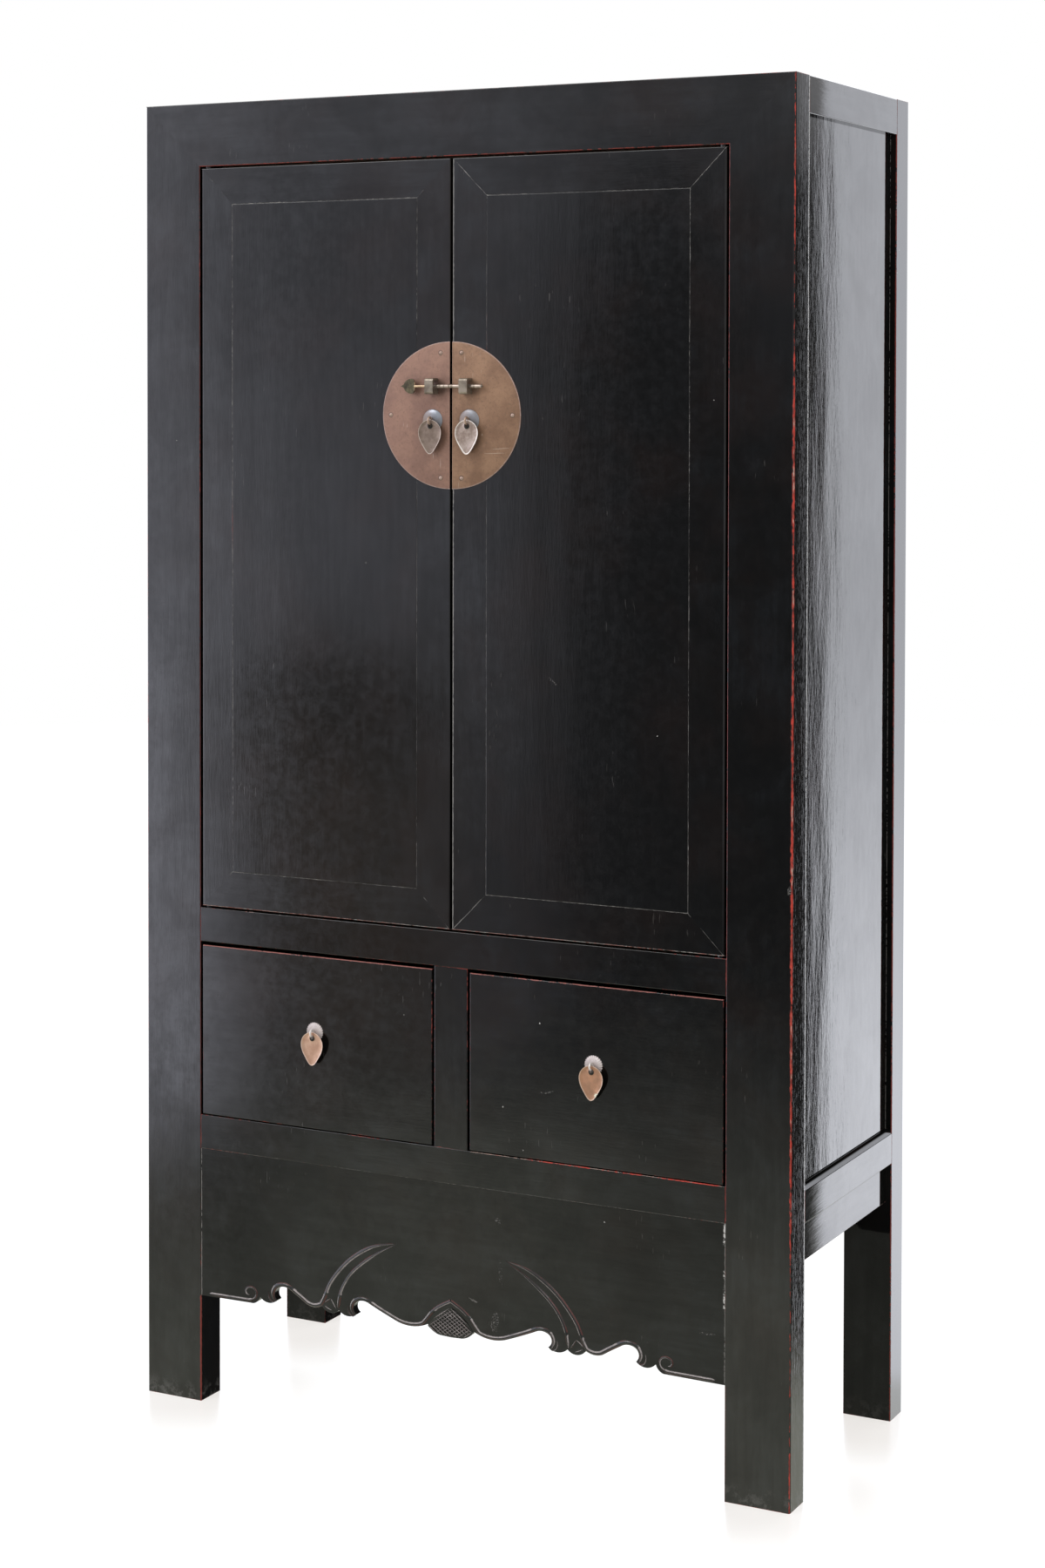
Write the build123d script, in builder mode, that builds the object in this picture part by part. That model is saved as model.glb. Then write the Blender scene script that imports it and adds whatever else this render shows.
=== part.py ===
"""A tall two-door wedding cabinet: frame and panel case, two pivoted doors, two drawers, carved apron.

Millimetres. X runs from the left side to the right, Y from front to back and Z up.
The origin is on the floor, under the middle of the case. The front faces -Y.
"""
from build123d import *
import os

os.makedirs("parts", exist_ok=True)

# Case
width = 1022.0
depth = 436.0
height = 1900.0
front_post_width = 94.0
front_post_depth = 50.0
back_post_width = 72.0
back_post_depth = 49.0
top_rail_height = 91.0
rail_height = 50.0
rail_thickness = 40.0
panel_thickness = 12.0
side_recess = 9.0
back_recess = 15.0
tongue = 8.0
side_apron_height = 56.0

# Heights of the openings in the front
drawer_rail_bottom = 374.0
drawer_opening_height = 255.0

# Doors
door_gap = 3.0
meeting_gap = 4.0
door_thickness = 25.0
door_frame_width = 53.0
door_panel_thickness = 14.0
door_groove_width = 6.0
pivot_inset = 8.0
pivot_radius = 5.0
pivot_length = 12.0
pivot_clearance = 0.1
panel_round = 0.8

# Drawers
divider_width = 53.0
drawer_side_gap = 3.5
drawer_top_gap = 5.0
drawer_bottom_gap = 1.5
drawer_front_thickness = 20.0
drawer_wall = 12.0
drawer_bottom_thickness = 8.0
drawer_box_length = 368.0
drawer_box_inset = 1.5
drawer_box_drop = 2.0
slide_clearance = 0.3

# Inside of the case
board_thickness = 14.0
floor_drop = 4.0
shelf_thickness = 16.0
shelf_heights = (1085.0, 1445.0)
shelf_gap = 1.0
shelf_front_gap = 5.0
batten_size = (18.0, 26.0)
bearer_width = 28.0
top_board_drop = 10.0
runner_thickness = 20.0
runner_reach = 25.0
guide_height = 26.0
guide_width = 30.0
guide_reach = 2.0
middle_guide_step = 1.0
stop_size = 14.0
stop_gap = 1.0
stop_end_room = 24.0

# Apron under the drawers
apron_thickness = 12.0
apron_setback = 1.0
relief = 2.0
bead_height = 5.0

# Metalwork
plate_reach = 107.0
plate_half_height = 102.5
plate_thickness = 1.4
plate_height = 1449.5
nail_radius = 2.7
nail_height = 1.4
nail_shank_radius = 1.1
nail_shank_length = 11.0
meeting_nail_inset = 16.5
meeting_nail_rise = 87.0
outer_nail_place = (96.0, 1450.0)
staple_size = (13.0, 16.0, 22.0)
staple_place = (27.0, 1490.0)
staple_bend = 3.5
staple_front = 3.0
staple_top = 3.0
staple_foot = 8.2
staple_legs_inset = (2.8, 2.0)
pull_eye_radius = 4.6
pull_wire_radius = 1.4
pull_stem_radius = 1.8
stem_clearance = 0.1
door_pull_place = (29.0, 1442.5)
drawer_pull_height = 565.5
door_rosette_radius = 15.5
drawer_rosette_radius = 14.0
rosette_rim = 0.8
rosette_shoulder = 2.4
rosette_height = 3.0
eye_standoff = 8.5
leaf_length = 48.0
leaf_width = 36.0
leaf_thickness = 1.6
clench_size = (14.0, 1.6, 4.0)
pin_tip = 54.0
pin_radius = 2.6
pin_neck_radius = 1.7
pin_thick_length = 74.0
pin_length = 107.0
pin_nose = 2.0
pin_taper = 3.0
pin_head_size = (22.5, 2.0, 21.0)
pin_play = 0.2

# Rounding of worn edges
outer_round = 3.0
sill_slope = 6.0
edge_round = 1.2

# Places that follow from the sizes above
x_out = width / 2
x_in = x_out - front_post_width
x_back_in = x_out - back_post_width
y_front = -depth / 2
y_back = depth / 2
y_post = y_front + front_post_depth
y_back_post = y_back - back_post_depth
x_rail_in = x_out - rail_thickness
y_rail_in = y_back - rail_thickness
x_panel = (x_out - side_recess - panel_thickness, x_out - side_recess)
y_panel = (y_back - back_recess - panel_thickness, y_back - back_recess)
z_drawer_low = drawer_rail_bottom + rail_height
z_drawer_high = z_drawer_low + drawer_opening_height
z_door_low = z_drawer_high + rail_height
z_door_high = height - top_rail_height
z_side_high = height - rail_height
z_floor = (z_door_low - floor_drop - board_thickness, z_door_low - floor_drop)
front = Plane.XZ.offset(-y_front)
hinge_x = x_in - door_gap - pivot_inset
hinge_y = y_front + pivot_inset
both_sides = {"left": -1, "right": 1}
through_bore = 60.0
nail_bore = 24.0


def block(x_span, y_span, z_span, mode=Mode.ADD):
    """A box between two corners, in the piece being built."""
    spans = (x_span, y_span, z_span)
    middle = [(low + high) / 2 for low, high in spans]
    with Locations(tuple(middle)):
        Box(*[abs(high - low) for low, high in spans], mode=mode)


def sided(side, low, high):
    """A span of X on the left (-1) or the right (+1), given by distances from the centre."""
    return (side * low, side * high) if side > 0 else (side * high, side * low)


def edges_at(piece, axis, **place):
    """The edges of a piece that run along an axis through the given coordinates."""
    axes = {"x": Axis.X, "y": Axis.Y, "z": Axis.Z}
    found = piece.edges().filter_by(axis)
    for name, value in place.items():
        found = found.filter_by_position(axes[name], value - 0.05, value + 0.05)
    return found


def save(piece, label):
    """Label a finished piece and write it to its own file."""
    piece.part.label = label
    export_step(piece.part, f"parts/{label}.step")


def mitred(points, thickness):
    """A flat piece drawn on the front plane and given a thickness towards the back."""
    with BuildSketch(front) as outline:
        with BuildLine():
            Polyline(*points, close=True)
        make_face()
    extrude(outline.sketch, amount=-thickness)


def bore_front(places, radius, length=through_bore):
    """Round holes along Y, half their length deep, in the front of the piece being built."""
    for x, z in places:
        with Locations(Location((x, y_front, z), (90, 0, 0))):
            Cylinder(radius, length, mode=Mode.SUBTRACT)


# ---- Case: posts ----------------------------------------------------------------------------

for name, side in both_sides.items():
    with BuildPart() as front_post:
        mitred([(side * x_in, 0), (side * x_out, 0), (side * x_out, height),
                (side * x_in, z_door_high)], front_post_depth)
        fillet(edges_at(front_post, Axis.Z, x=side * x_out, y=y_front), outer_round)
        fillet(edges_at(front_post, Axis.Z, x=side * x_in, y=y_front), edge_round)
        fillet(edges_at(front_post, Axis.Z, x=side * x_out, y=y_post), edge_round)
        panel_edge = sided(side, *x_panel)
        block(panel_edge, (y_post - tongue, y_post),
              (drawer_rail_bottom - side_apron_height, drawer_rail_bottom), Mode.SUBTRACT)
        block(panel_edge, (y_post - tongue, y_post), (z_drawer_low, z_side_high), Mode.SUBTRACT)
    save(front_post, f"front_{name}_post")

    with BuildPart() as back_post:
        block(sided(side, x_back_in, x_out), (y_back_post, y_back), (0, height))
        fillet(edges_at(back_post, Axis.Z, x=side * x_out, y=y_back), outer_round)
        fillet(edges_at(back_post, Axis.Z, x=side * x_out, y=y_back_post), edge_round)
        block(sided(side, *x_panel), (y_back_post, y_back_post + tongue),
              (drawer_rail_bottom - side_apron_height, drawer_rail_bottom), Mode.SUBTRACT)
        block(sided(side, *x_panel), (y_back_post, y_back_post + tongue),
              (z_drawer_low, z_side_high), Mode.SUBTRACT)
        block(sided(side, x_back_in, x_back_in + tongue), y_panel,
              (z_drawer_low, z_side_high), Mode.SUBTRACT)
    save(back_post, f"back_{name}_post")

# ---- Case: rails of the front and the back ---------------------------------------------------

top_board_z = (height - top_board_drop - board_thickness, height - top_board_drop)
hinge_places = [(-hinge_x, hinge_y), (hinge_x, hinge_y)]

with BuildPart() as front_top_rail:
    mitred([(-x_out, height), (x_out, height), (x_in, z_door_high), (-x_in, z_door_high)],
           front_post_depth)
    fillet(edges_at(front_top_rail, Axis.X, y=y_front), edge_round)
    fillet(edges_at(front_top_rail, Axis.X, y=y_post, z=height), edge_round)
    block((-x_rail_in - tongue, x_rail_in + tongue), (y_post - tongue, y_post), top_board_z,
          Mode.SUBTRACT)
    for x, y in hinge_places:
        with Locations((x, y, z_door_high)):
            Cylinder(pivot_radius + pivot_clearance, 2 * pivot_length, mode=Mode.SUBTRACT)
save(front_top_rail, "front_top_rail")

with BuildPart() as front_middle_rail:
    block((-x_in, x_in), (y_front, y_post), (z_drawer_high, z_door_low))
    fillet(edges_at(front_middle_rail, Axis.X, y=y_front), edge_round)
    block((-x_in, x_in), (y_post - tongue, y_post), z_floor, Mode.SUBTRACT)
    for x, y in hinge_places:
        with Locations((x, y, z_door_low)):
            Cylinder(pivot_radius + pivot_clearance, 2 * pivot_length, mode=Mode.SUBTRACT)
save(front_middle_rail, "front_middle_rail")

with BuildPart() as front_drawer_rail:
    block((-x_in, x_in), (y_front, y_post), (drawer_rail_bottom, z_drawer_low))
    fillet(edges_at(front_drawer_rail, Axis.X, y=y_front), edge_round)
save(front_drawer_rail, "front_drawer_rail")

with BuildPart() as drawer_divider:
    block((-divider_width / 2, divider_width / 2), (y_front, y_post), (z_drawer_low, z_drawer_high))
    fillet(edges_at(drawer_divider, Axis.Z, y=y_front), edge_round)
save(drawer_divider, "drawer_divider")

with BuildPart() as back_top_rail:
    block((-x_back_in, x_back_in), (y_rail_in, y_back), (z_side_high, height))
    fillet(edges_at(back_top_rail, Axis.X, y=y_back), edge_round)
    block((-x_back_in, x_back_in), (y_rail_in, y_rail_in + tongue), top_board_z, Mode.SUBTRACT)
    block((-x_back_in, x_back_in), y_panel, (z_side_high, z_side_high + tongue), Mode.SUBTRACT)
save(back_top_rail, "back_top_rail")

with BuildPart() as back_bottom_rail:
    block((-x_back_in, x_back_in), (y_rail_in, y_back), (drawer_rail_bottom, z_drawer_low))
    fillet(edges_at(back_bottom_rail, Axis.X, y=y_back), edge_round)
    block((-x_back_in, x_back_in), y_panel, (z_drawer_low - tongue, z_drawer_low), Mode.SUBTRACT)
save(back_bottom_rail, "back_bottom_rail")

with BuildPart() as back_panel:
    block((-x_back_in, x_back_in), y_panel, (z_drawer_low - tongue, z_side_high + tongue))
    block((-x_back_in - tongue, x_back_in + tongue), y_panel, (z_drawer_low, z_side_high))
save(back_panel, "back_panel")

# ---- Case: sides -----------------------------------------------------------------------------

for name, side in both_sides.items():
    rail_x = sided(side, x_rail_in, x_out)
    board_x = sided(side, *x_panel)

    with BuildPart() as side_top_rail:
        block(rail_x, (y_post, y_back_post), (z_side_high, height))
        fillet(edges_at(side_top_rail, Axis.Y, x=side * x_out), edge_round)
        block(board_x, (y_post, y_back_post), (z_side_high, z_side_high + tongue), Mode.SUBTRACT)
        block(sided(side, x_rail_in, x_rail_in + tongue), (y_post, y_back_post), top_board_z,
              Mode.SUBTRACT)
    save(side_top_rail, f"{name}_top_rail")

    with BuildPart() as side_bottom_rail:
        block(rail_x, (y_post, y_back_post), (drawer_rail_bottom, z_drawer_low))
        fillet(edges_at(side_bottom_rail, Axis.Y, x=side * x_out, z=drawer_rail_bottom), edge_round)
        chamfer(edges_at(side_bottom_rail, Axis.Y, x=side * x_out, z=z_drawer_low), sill_slope)
        fillet(edges_at(side_bottom_rail, Axis.Y, z=z_drawer_low - sill_slope), edge_round)
        block(board_x, (y_post, y_back_post), (z_drawer_low - tongue, z_drawer_low), Mode.SUBTRACT)
        block(board_x, (y_post, y_back_post), (drawer_rail_bottom, drawer_rail_bottom + tongue),
              Mode.SUBTRACT)
    save(side_bottom_rail, f"{name}_bottom_rail")

    with BuildPart() as side_panel:
        block(board_x, (y_post, y_back_post), (z_drawer_low - tongue, z_side_high + tongue))
        block(board_x, (y_post - tongue, y_back_post + tongue), (z_drawer_low, z_side_high))
    save(side_panel, f"{name}_side_panel")

    with BuildPart() as side_apron:
        block(board_x, (y_post - tongue, y_back_post + tongue),
              (drawer_rail_bottom - side_apron_height, drawer_rail_bottom))
        block(board_x, (y_post, y_back_post), (drawer_rail_bottom, drawer_rail_bottom + tongue))
    save(side_apron, f"{name}_side_apron")

# ---- Case: boards, bearers and runners inside ------------------------------------------------


def notched_board(z_span, side_reach, front_reach):
    """A board that fills the case, with tongues in the front and back rails."""
    block((-side_reach, side_reach), (y_post, y_back_post), z_span)
    block((-front_reach, front_reach), (y_post - tongue, y_post), z_span)
    block((-x_back_in, x_back_in), (y_back_post, y_rail_in), z_span)


with BuildPart() as top_board:
    notched_board(top_board_z, x_rail_in + tongue, x_rail_in + tongue)
    block((-x_back_in, x_back_in), (y_rail_in, y_rail_in + tongue), top_board_z)
save(top_board, "top_board")

with BuildPart() as cupboard_floor:
    notched_board(z_floor, x_panel[0], x_in)
    block((-x_back_in, x_back_in), (y_rail_in, y_panel[0]), z_floor)
save(cupboard_floor, "cupboard_floor")

with BuildPart() as floor_bearers:
    for side in both_sides.values():
        block(sided(side, x_panel[0] - bearer_width, x_panel[0]), (y_post, y_back_post),
              (z_drawer_high, z_floor[0]))
    block((-bearer_width / 2, bearer_width / 2), (y_post, y_panel[0]), (z_drawer_high, z_floor[0]))
save(floor_bearers, "floor_bearers")

runner_z = (z_drawer_low - runner_thickness, z_drawer_low)
guide_z = (z_drawer_low, z_drawer_low + guide_height)
middle_guide = divider_width / 2 + middle_guide_step
with BuildPart() as drawer_runners:
    for side in both_sides.values():
        block(sided(side, x_in - runner_reach, x_rail_in), (y_post, y_back_post), runner_z)
        block(sided(side, x_in - guide_reach, x_in - guide_reach + guide_width),
              (y_post, y_back_post), guide_z)
    block((-divider_width, divider_width), (y_post, y_rail_in), runner_z)
    block((-middle_guide, middle_guide), (y_post, y_rail_in), guide_z)
save(drawer_runners, "drawer_runners")

with BuildPart() as shelf_battens:
    for shelf_z in shelf_heights:
        for side in both_sides.values():
            block(sided(side, x_panel[0] - batten_size[0], x_panel[0]), (y_post, y_back_post),
                  (shelf_z - batten_size[1], shelf_z))
save(shelf_battens, "shelf_battens")

with BuildPart() as shelves:
    for shelf_z in shelf_heights:
        block((shelf_gap - x_panel[0], x_panel[0] - shelf_gap),
              (y_post + shelf_front_gap, y_back_post - shelf_gap), (shelf_z, shelf_z + shelf_thickness))
save(shelves, "shelves")

stop_front = y_front + door_thickness + stop_gap
stop_y = (stop_front, stop_front + stop_size)
with BuildPart() as door_stops:
    stop_x = (stop_end_room - x_in, x_in - stop_end_room)
    block(stop_x, stop_y, (z_door_high - stop_size, z_door_high))
    block(stop_x, stop_y, (z_door_low, z_door_low + stop_size))
save(door_stops, "door_stops")

# ---- Apron: a carved board with a wavy lower edge, the same on both sides of the centre --------

apron_start = (x_in, 156.4)
apron_flat_end = (327.0, 157.4)
# Each curve of the lower edge: a place it passes through, and where it ends.
apron_curves = [
    ((319.8, 161.4), (315.5, 168.6)),
    ((298.8, 161.8), (286.0, 168.0)),
    ((290.2, 177.6), (284.0, 186.6)),
    ((275.0, 188.8), (263.0, 185.2)),
    ((249.0, 177.2), (236.0, 169.2)),
    ((224.0, 166.8), (210.5, 170.6)),
    ((196.6, 162.8), (182.4, 168.4)),
    ((166.6, 162.0), (152.6, 167.2)),
    ((158.0, 177.0), (151.5, 185.8)),
    ((143.4, 187.8), (132.0, 185.0)),
    ((111.0, 176.2), (90.0, 168.0)),
    ((64.0, 163.6), (37.0, 170.6)),
    ((29.0, 162.4), (17.0, 158.0)),
]
apron_centre = (0.0, 157.3)
leaf_outer = [(212.0, 173.0), (193.5, 211.0), (164.0, 244.0), (126.0, 268.0), (86.0, 278.0)]
leaf_inner = [(86.0, 278.0), (123.0, 257.0), (159.0, 228.0), (178.0, 199.0), (184.0, 170.5)]
bud_tip = (0.0, 207.0)
bud_shoulder = (29.0, 188.0)
bud_foot = (40.0, 170.0)


def apron_outline():
    """The apron's face, drawn on the sketch being built."""
    with BuildLine() as outline:
        Line((0, drawer_rail_bottom), (x_in, drawer_rail_bottom))
        Line((x_in, drawer_rail_bottom), apron_start)
        Line(apron_start, apron_flat_end)
        here = apron_flat_end
        for through, end in apron_curves:
            ThreePointArc(here, through, end)
            here = end
        Line(here, apron_centre)
        mirror(about=Plane.YZ)
    make_face(outline.edges())


def half_leaf():
    """The right half's long curled leaf, drawn on the sketch being built."""
    with BuildLine() as outline:
        Spline(*leaf_outer)
        Spline(*leaf_inner)
        Line(leaf_inner[-1], leaf_outer[0])
    make_face(outline.edges())


def bud():
    """The bud that hangs at the centre of the apron, drawn on the sketch being built."""
    with BuildLine() as outline:
        ThreePointArc(bud_tip, bud_shoulder, bud_foot)
        Line(bud_foot, (bud_foot[0], apron_centre[1]))
        Line((bud_foot[0], apron_centre[1]), apron_centre)
        mirror(about=Plane.YZ)
    make_face(outline.edges())


apron_face = front.offset(-apron_setback)
with BuildSketch(apron_face) as apron_sketch:
    apron_outline()
with BuildSketch(apron_face) as raised_edge:
    apron_outline()
    with Locations((0, bead_height)):
        add(apron_sketch.sketch_local, mode=Mode.SUBTRACT)
with BuildSketch(apron_face) as leaf_sketch:
    half_leaf()
    mirror(about=Plane.YZ)
with BuildSketch(apron_face) as bud_sketch:
    bud()
    add(apron_sketch.sketch_local, mode=Mode.INTERSECT)

with BuildPart() as front_apron:
    extrude(apron_sketch.sketch, amount=-apron_thickness)
    extrude(leaf_sketch.sketch, amount=relief)
    extrude(bud_sketch.sketch, amount=relief)
    extrude(raised_edge.sketch, amount=relief / 2)
save(front_apron, "front_apron")

# ---- Doors: mitred frames with flush panels, turning on wooden pivots ---------------------------

door_outer = x_in - door_gap
door_inner = meeting_gap / 2
door_z = (z_door_low + door_gap, z_door_high - door_gap)
panel_x = (door_inner + door_frame_width, door_outer - door_frame_width)
door_panel_z = (door_z[0] + door_frame_width, door_z[1] - door_frame_width)
groove_y = (y_front + door_panel_thickness - door_groove_width, y_front + door_panel_thickness)
plate_front = y_front - plate_thickness
stem_hole = pull_stem_radius + stem_clearance
nail_hole = nail_shank_radius + stem_clearance
nail_places = [(meeting_nail_inset, plate_height + meeting_nail_rise),
               (meeting_nail_inset, plate_height - meeting_nail_rise), outer_nail_place]
staple_z = (staple_place[1] - staple_size[2] / 2, staple_place[1] + staple_size[2] / 2)
staple_legs = (staple_z[0] + staple_legs_inset[0], staple_z[1] - staple_legs_inset[1])
stem_places = [door_pull_place] + [(staple_place[0], z) for z in staple_legs]

for name, side in both_sides.items():
    corners = {
        "hinge": [(door_outer, door_z[0]), (door_outer, door_z[1]),
                  (panel_x[1], door_panel_z[1]), (panel_x[1], door_panel_z[0])],
        "meeting": [(door_inner, door_z[0]), (door_inner, door_z[1]),
                    (panel_x[0], door_panel_z[1]), (panel_x[0], door_panel_z[0])],
        "top": [(door_outer, door_z[1]), (door_inner, door_z[1]),
                (panel_x[0], door_panel_z[1]), (panel_x[1], door_panel_z[1])],
        "bottom": [(door_outer, door_z[0]), (door_inner, door_z[0]),
                   (panel_x[0], door_panel_z[0]), (panel_x[1], door_panel_z[0])],
    }
    corners = {key: [(side * x, z) for x, z in points] for key, points in corners.items()}
    tongue_x = sided(side, panel_x[0] - tongue, panel_x[1] + tongue)
    tongue_z = (door_panel_z[0] - tongue, door_panel_z[1] + tongue)
    nails = [(side * x, z) for x, z in nail_places]
    stems = [(side * x, z) for x, z in stem_places]

    with BuildPart() as hinge_stile:
        mitred(corners["hinge"], door_thickness)
        block(tongue_x, groove_y, tongue_z, Mode.SUBTRACT)
        fillet(edges_at(hinge_stile, Axis.Z, x=side * door_outer, y=y_front), outer_round)
        for end_z in door_z:
            with Locations((side * hinge_x, hinge_y, end_z)):
                Cylinder(pivot_radius, 2 * (door_gap + pivot_length - slide_clearance))
    save(hinge_stile, f"{name}_door_hinge_stile")

    with BuildPart() as meeting_stile:
        mitred(corners["meeting"], door_thickness)
        block(tongue_x, groove_y, tongue_z, Mode.SUBTRACT)
        fillet(edges_at(meeting_stile, Axis.Z, x=side * door_inner, y=y_front), edge_round)
        bore_front(stems, stem_hole)
        bore_front(nails[:2], nail_hole, nail_bore)
    save(meeting_stile, f"{name}_door_meeting_stile")

    for end, end_z in (("top", door_z[1]), ("bottom", door_z[0])):
        with BuildPart() as door_rail:
            mitred(corners[end], door_thickness)
            block(tongue_x, groove_y, tongue_z, Mode.SUBTRACT)
            fillet(edges_at(door_rail, Axis.X, y=y_front, z=end_z), edge_round)
            with Locations((side * hinge_x, hinge_y, end_z)):
                Cylinder(pivot_radius + pivot_clearance, door_frame_width, mode=Mode.SUBTRACT)
        save(door_rail, f"{name}_door_{end}_rail")

    with BuildPart() as door_panel:
        block(sided(side, *panel_x), (y_front, y_front + door_panel_thickness), door_panel_z)
        block(tongue_x, groove_y, tongue_z)
        fillet(door_panel.faces().sort_by(Axis.Y)[0].edges(), panel_round)
        bore_front(nails[2:], nail_hole, nail_bore)
    save(door_panel, f"{name}_door_panel")

# ---- Drawers -----------------------------------------------------------------------------------

drawer_x = (divider_width / 2 + drawer_side_gap, x_in - drawer_side_gap)
drawer_front_z = (z_drawer_low + drawer_bottom_gap, z_drawer_high - drawer_top_gap)
box_x = (drawer_x[0] + drawer_box_inset, drawer_x[1] - drawer_box_inset)
box_y = (y_front + drawer_front_thickness, y_front + drawer_front_thickness + drawer_box_length)
box_z = (z_drawer_low + slide_clearance, drawer_front_z[1] - drawer_box_drop)
bottom_z = (z_drawer_low + drawer_bottom_thickness, z_drawer_low + 2 * drawer_bottom_thickness)
drawer_middle = (drawer_x[0] + drawer_x[1]) / 2
groove_depth = drawer_wall / 2

for name, side in both_sides.items():
    bottom_block = (sided(side, box_x[0] + groove_depth, box_x[1] - groove_depth),
                    (box_y[0] - groove_depth, box_y[1]), bottom_z)

    with BuildPart() as drawer_front:
        block(sided(side, *drawer_x), (y_front, box_y[0]), drawer_front_z)
        fillet(drawer_front.faces().sort_by(Axis.Y)[0].edges(), edge_round)
        block(*bottom_block, Mode.SUBTRACT)
        bore_front([(side * drawer_middle, drawer_pull_height)], stem_hole)
    save(drawer_front, f"{name}_drawer_front")

    with BuildPart() as drawer_sides:
        block(sided(side, box_x[0], box_x[0] + drawer_wall), box_y, box_z)
        block(sided(side, box_x[1] - drawer_wall, box_x[1]), box_y, box_z)
        block(*bottom_block, Mode.SUBTRACT)
    save(drawer_sides, f"{name}_drawer_sides")

    with BuildPart() as drawer_back:
        block(sided(side, box_x[0] + drawer_wall, box_x[1] - drawer_wall),
              (box_y[1] - drawer_wall, box_y[1]), (bottom_z[1], box_z[1]))
    save(drawer_back, f"{name}_drawer_back")

    with BuildPart() as drawer_bottom:
        block(*bottom_block)
    save(drawer_bottom, f"{name}_drawer_bottom")

# ---- Metalwork: lock plates, their nails, staples and sliding pin --------------------------------

stem_length = door_thickness + plate_thickness
stem_root = 1.0
staple_y = (plate_front - staple_size[1], plate_front)

nail_dome_radius = (nail_radius**2 + nail_height**2) / (2 * nail_height)
with BuildPart() as nail:
    with BuildSketch():
        with BuildLine():
            RadiusArc((nail_radius, 0), (0, -nail_height), nail_dome_radius)
            Polyline((0, -nail_height), (0, nail_shank_length), (nail_shank_radius, nail_shank_length),
                     (nail_shank_radius, 0), (nail_radius, 0))
        make_face()
    revolve(axis=Axis.Y)

for name, side in both_sides.items():
    nails = [(side * x, z) for x, z in nail_places]
    stems = [(side * x, z) for x, z in stem_places]

    with BuildPart() as lock_plate:
        with BuildSketch(front):
            with Locations((side * door_inner, plate_height)):
                Ellipse(plate_reach, plate_half_height)
            with Locations((side * (door_inner - plate_reach), plate_height)):
                Rectangle(2 * plate_reach, 3 * plate_half_height, mode=Mode.SUBTRACT)
        extrude(amount=plate_thickness)
        bore_front(stems, stem_hole)
        bore_front(nails, nail_hole)
    save(lock_plate, f"{name}_lock_plate")

    with BuildPart() as plate_nails:
        with Locations(*[(x, plate_front, z) for x, z in nails]):
            add(nail.part)
    save(plate_nails, f"{name}_plate_nails")

    with BuildPart() as lock_staple:
        staple_x = side * staple_place[0]
        strap_x = (staple_x - staple_size[0] / 2, staple_x + staple_size[0] / 2)
        block(strap_x, staple_y, staple_z)
        fillet(edges_at(lock_staple, Axis.X, y=staple_y[0]), staple_bend)
        block(strap_x, (staple_y[0] + staple_front, plate_front),
              (staple_z[0] + staple_foot, staple_z[1] - staple_top), Mode.SUBTRACT)
        for z in staple_legs:
            with Locations(Location((staple_x, plate_front + stem_length / 2, z), (90, 0, 0))):
                Cylinder(pull_stem_radius, stem_length + 2 * stem_root)
            with Locations((staple_x, plate_front + stem_length + clench_size[1] / 2, z)):
                Box(*clench_size)
    save(lock_staple, f"{name}_lock_staple")

pin_shoulder = pin_tip - pin_thick_length
pin_head_root = pin_tip - pin_length
pin_y = plate_front - (staple_size[1] - staple_front) / 2 - 1
pin_z = staple_z[0] + staple_foot + pin_radius + pin_play
pin_top = pin_z + pin_radius
pin_nose_radius = (pin_radius**2 + pin_nose**2) / (2 * pin_nose)
head_widest = pin_head_root - 0.3 * pin_head_size[0]
head_waist = pin_head_root - 0.72 * pin_head_size[0]
head_end = pin_head_root - pin_head_size[0]
head_half = pin_head_size[2] / 2

with BuildPart() as lock_pin:
    with BuildSketch(Plane.XZ.offset(-pin_y)):
        with BuildLine():
            RadiusArc((pin_tip - pin_nose, pin_top), (pin_tip, pin_z), pin_nose_radius)
            Polyline((pin_tip - pin_nose, pin_top), (pin_shoulder, pin_top),
                     (pin_shoulder - pin_taper, pin_z + pin_neck_radius),
                     (pin_head_root - pin_taper, pin_z + pin_neck_radius),
                     (pin_head_root - pin_taper, pin_z), (pin_tip, pin_z))
        make_face()
    revolve(axis=Axis((0, pin_y, pin_z), (1, 0, 0)))
    with BuildSketch(Plane.XZ.offset(pin_head_size[1] / 2 - pin_y)):
        with BuildLine():
            for hand in (-1, 1):
                Spline((pin_head_root, pin_z), (head_widest, pin_z + hand * head_half),
                       (head_waist, pin_z + hand * head_half / 2), (head_end, pin_z),
                       tangents=((0, hand), (-1, -0.4 * hand)))
        make_face()
    extrude(amount=-pin_head_size[1])
save(lock_pin, "lock_pin")

# ---- Metalwork: pulls, each a rosette with an eye and a leaf that swings in the eye ---------------

leaf_top = 1.2
leaf_hole_radius = 3.1
leaf_slack = 0.3
leaf_hole_drop = pull_eye_radius - pull_wire_radius - leaf_slack + leaf_hole_radius
leaf_shoulder = 16.0
leaf_taper = (0.34 * leaf_width, 0.7 * leaf_length)
leaf_end = (0.15 * leaf_width, 0.91 * leaf_length)
pulls = {}
for name, side in both_sides.items():
    pulls[f"{name}_door"] = (side * door_pull_place[0], door_pull_place[1], plate_front,
                             door_rosette_radius, stem_length)
    pulls[f"{name}_drawer"] = (side * drawer_middle, drawer_pull_height, y_front,
                               drawer_rosette_radius, drawer_front_thickness)

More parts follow.
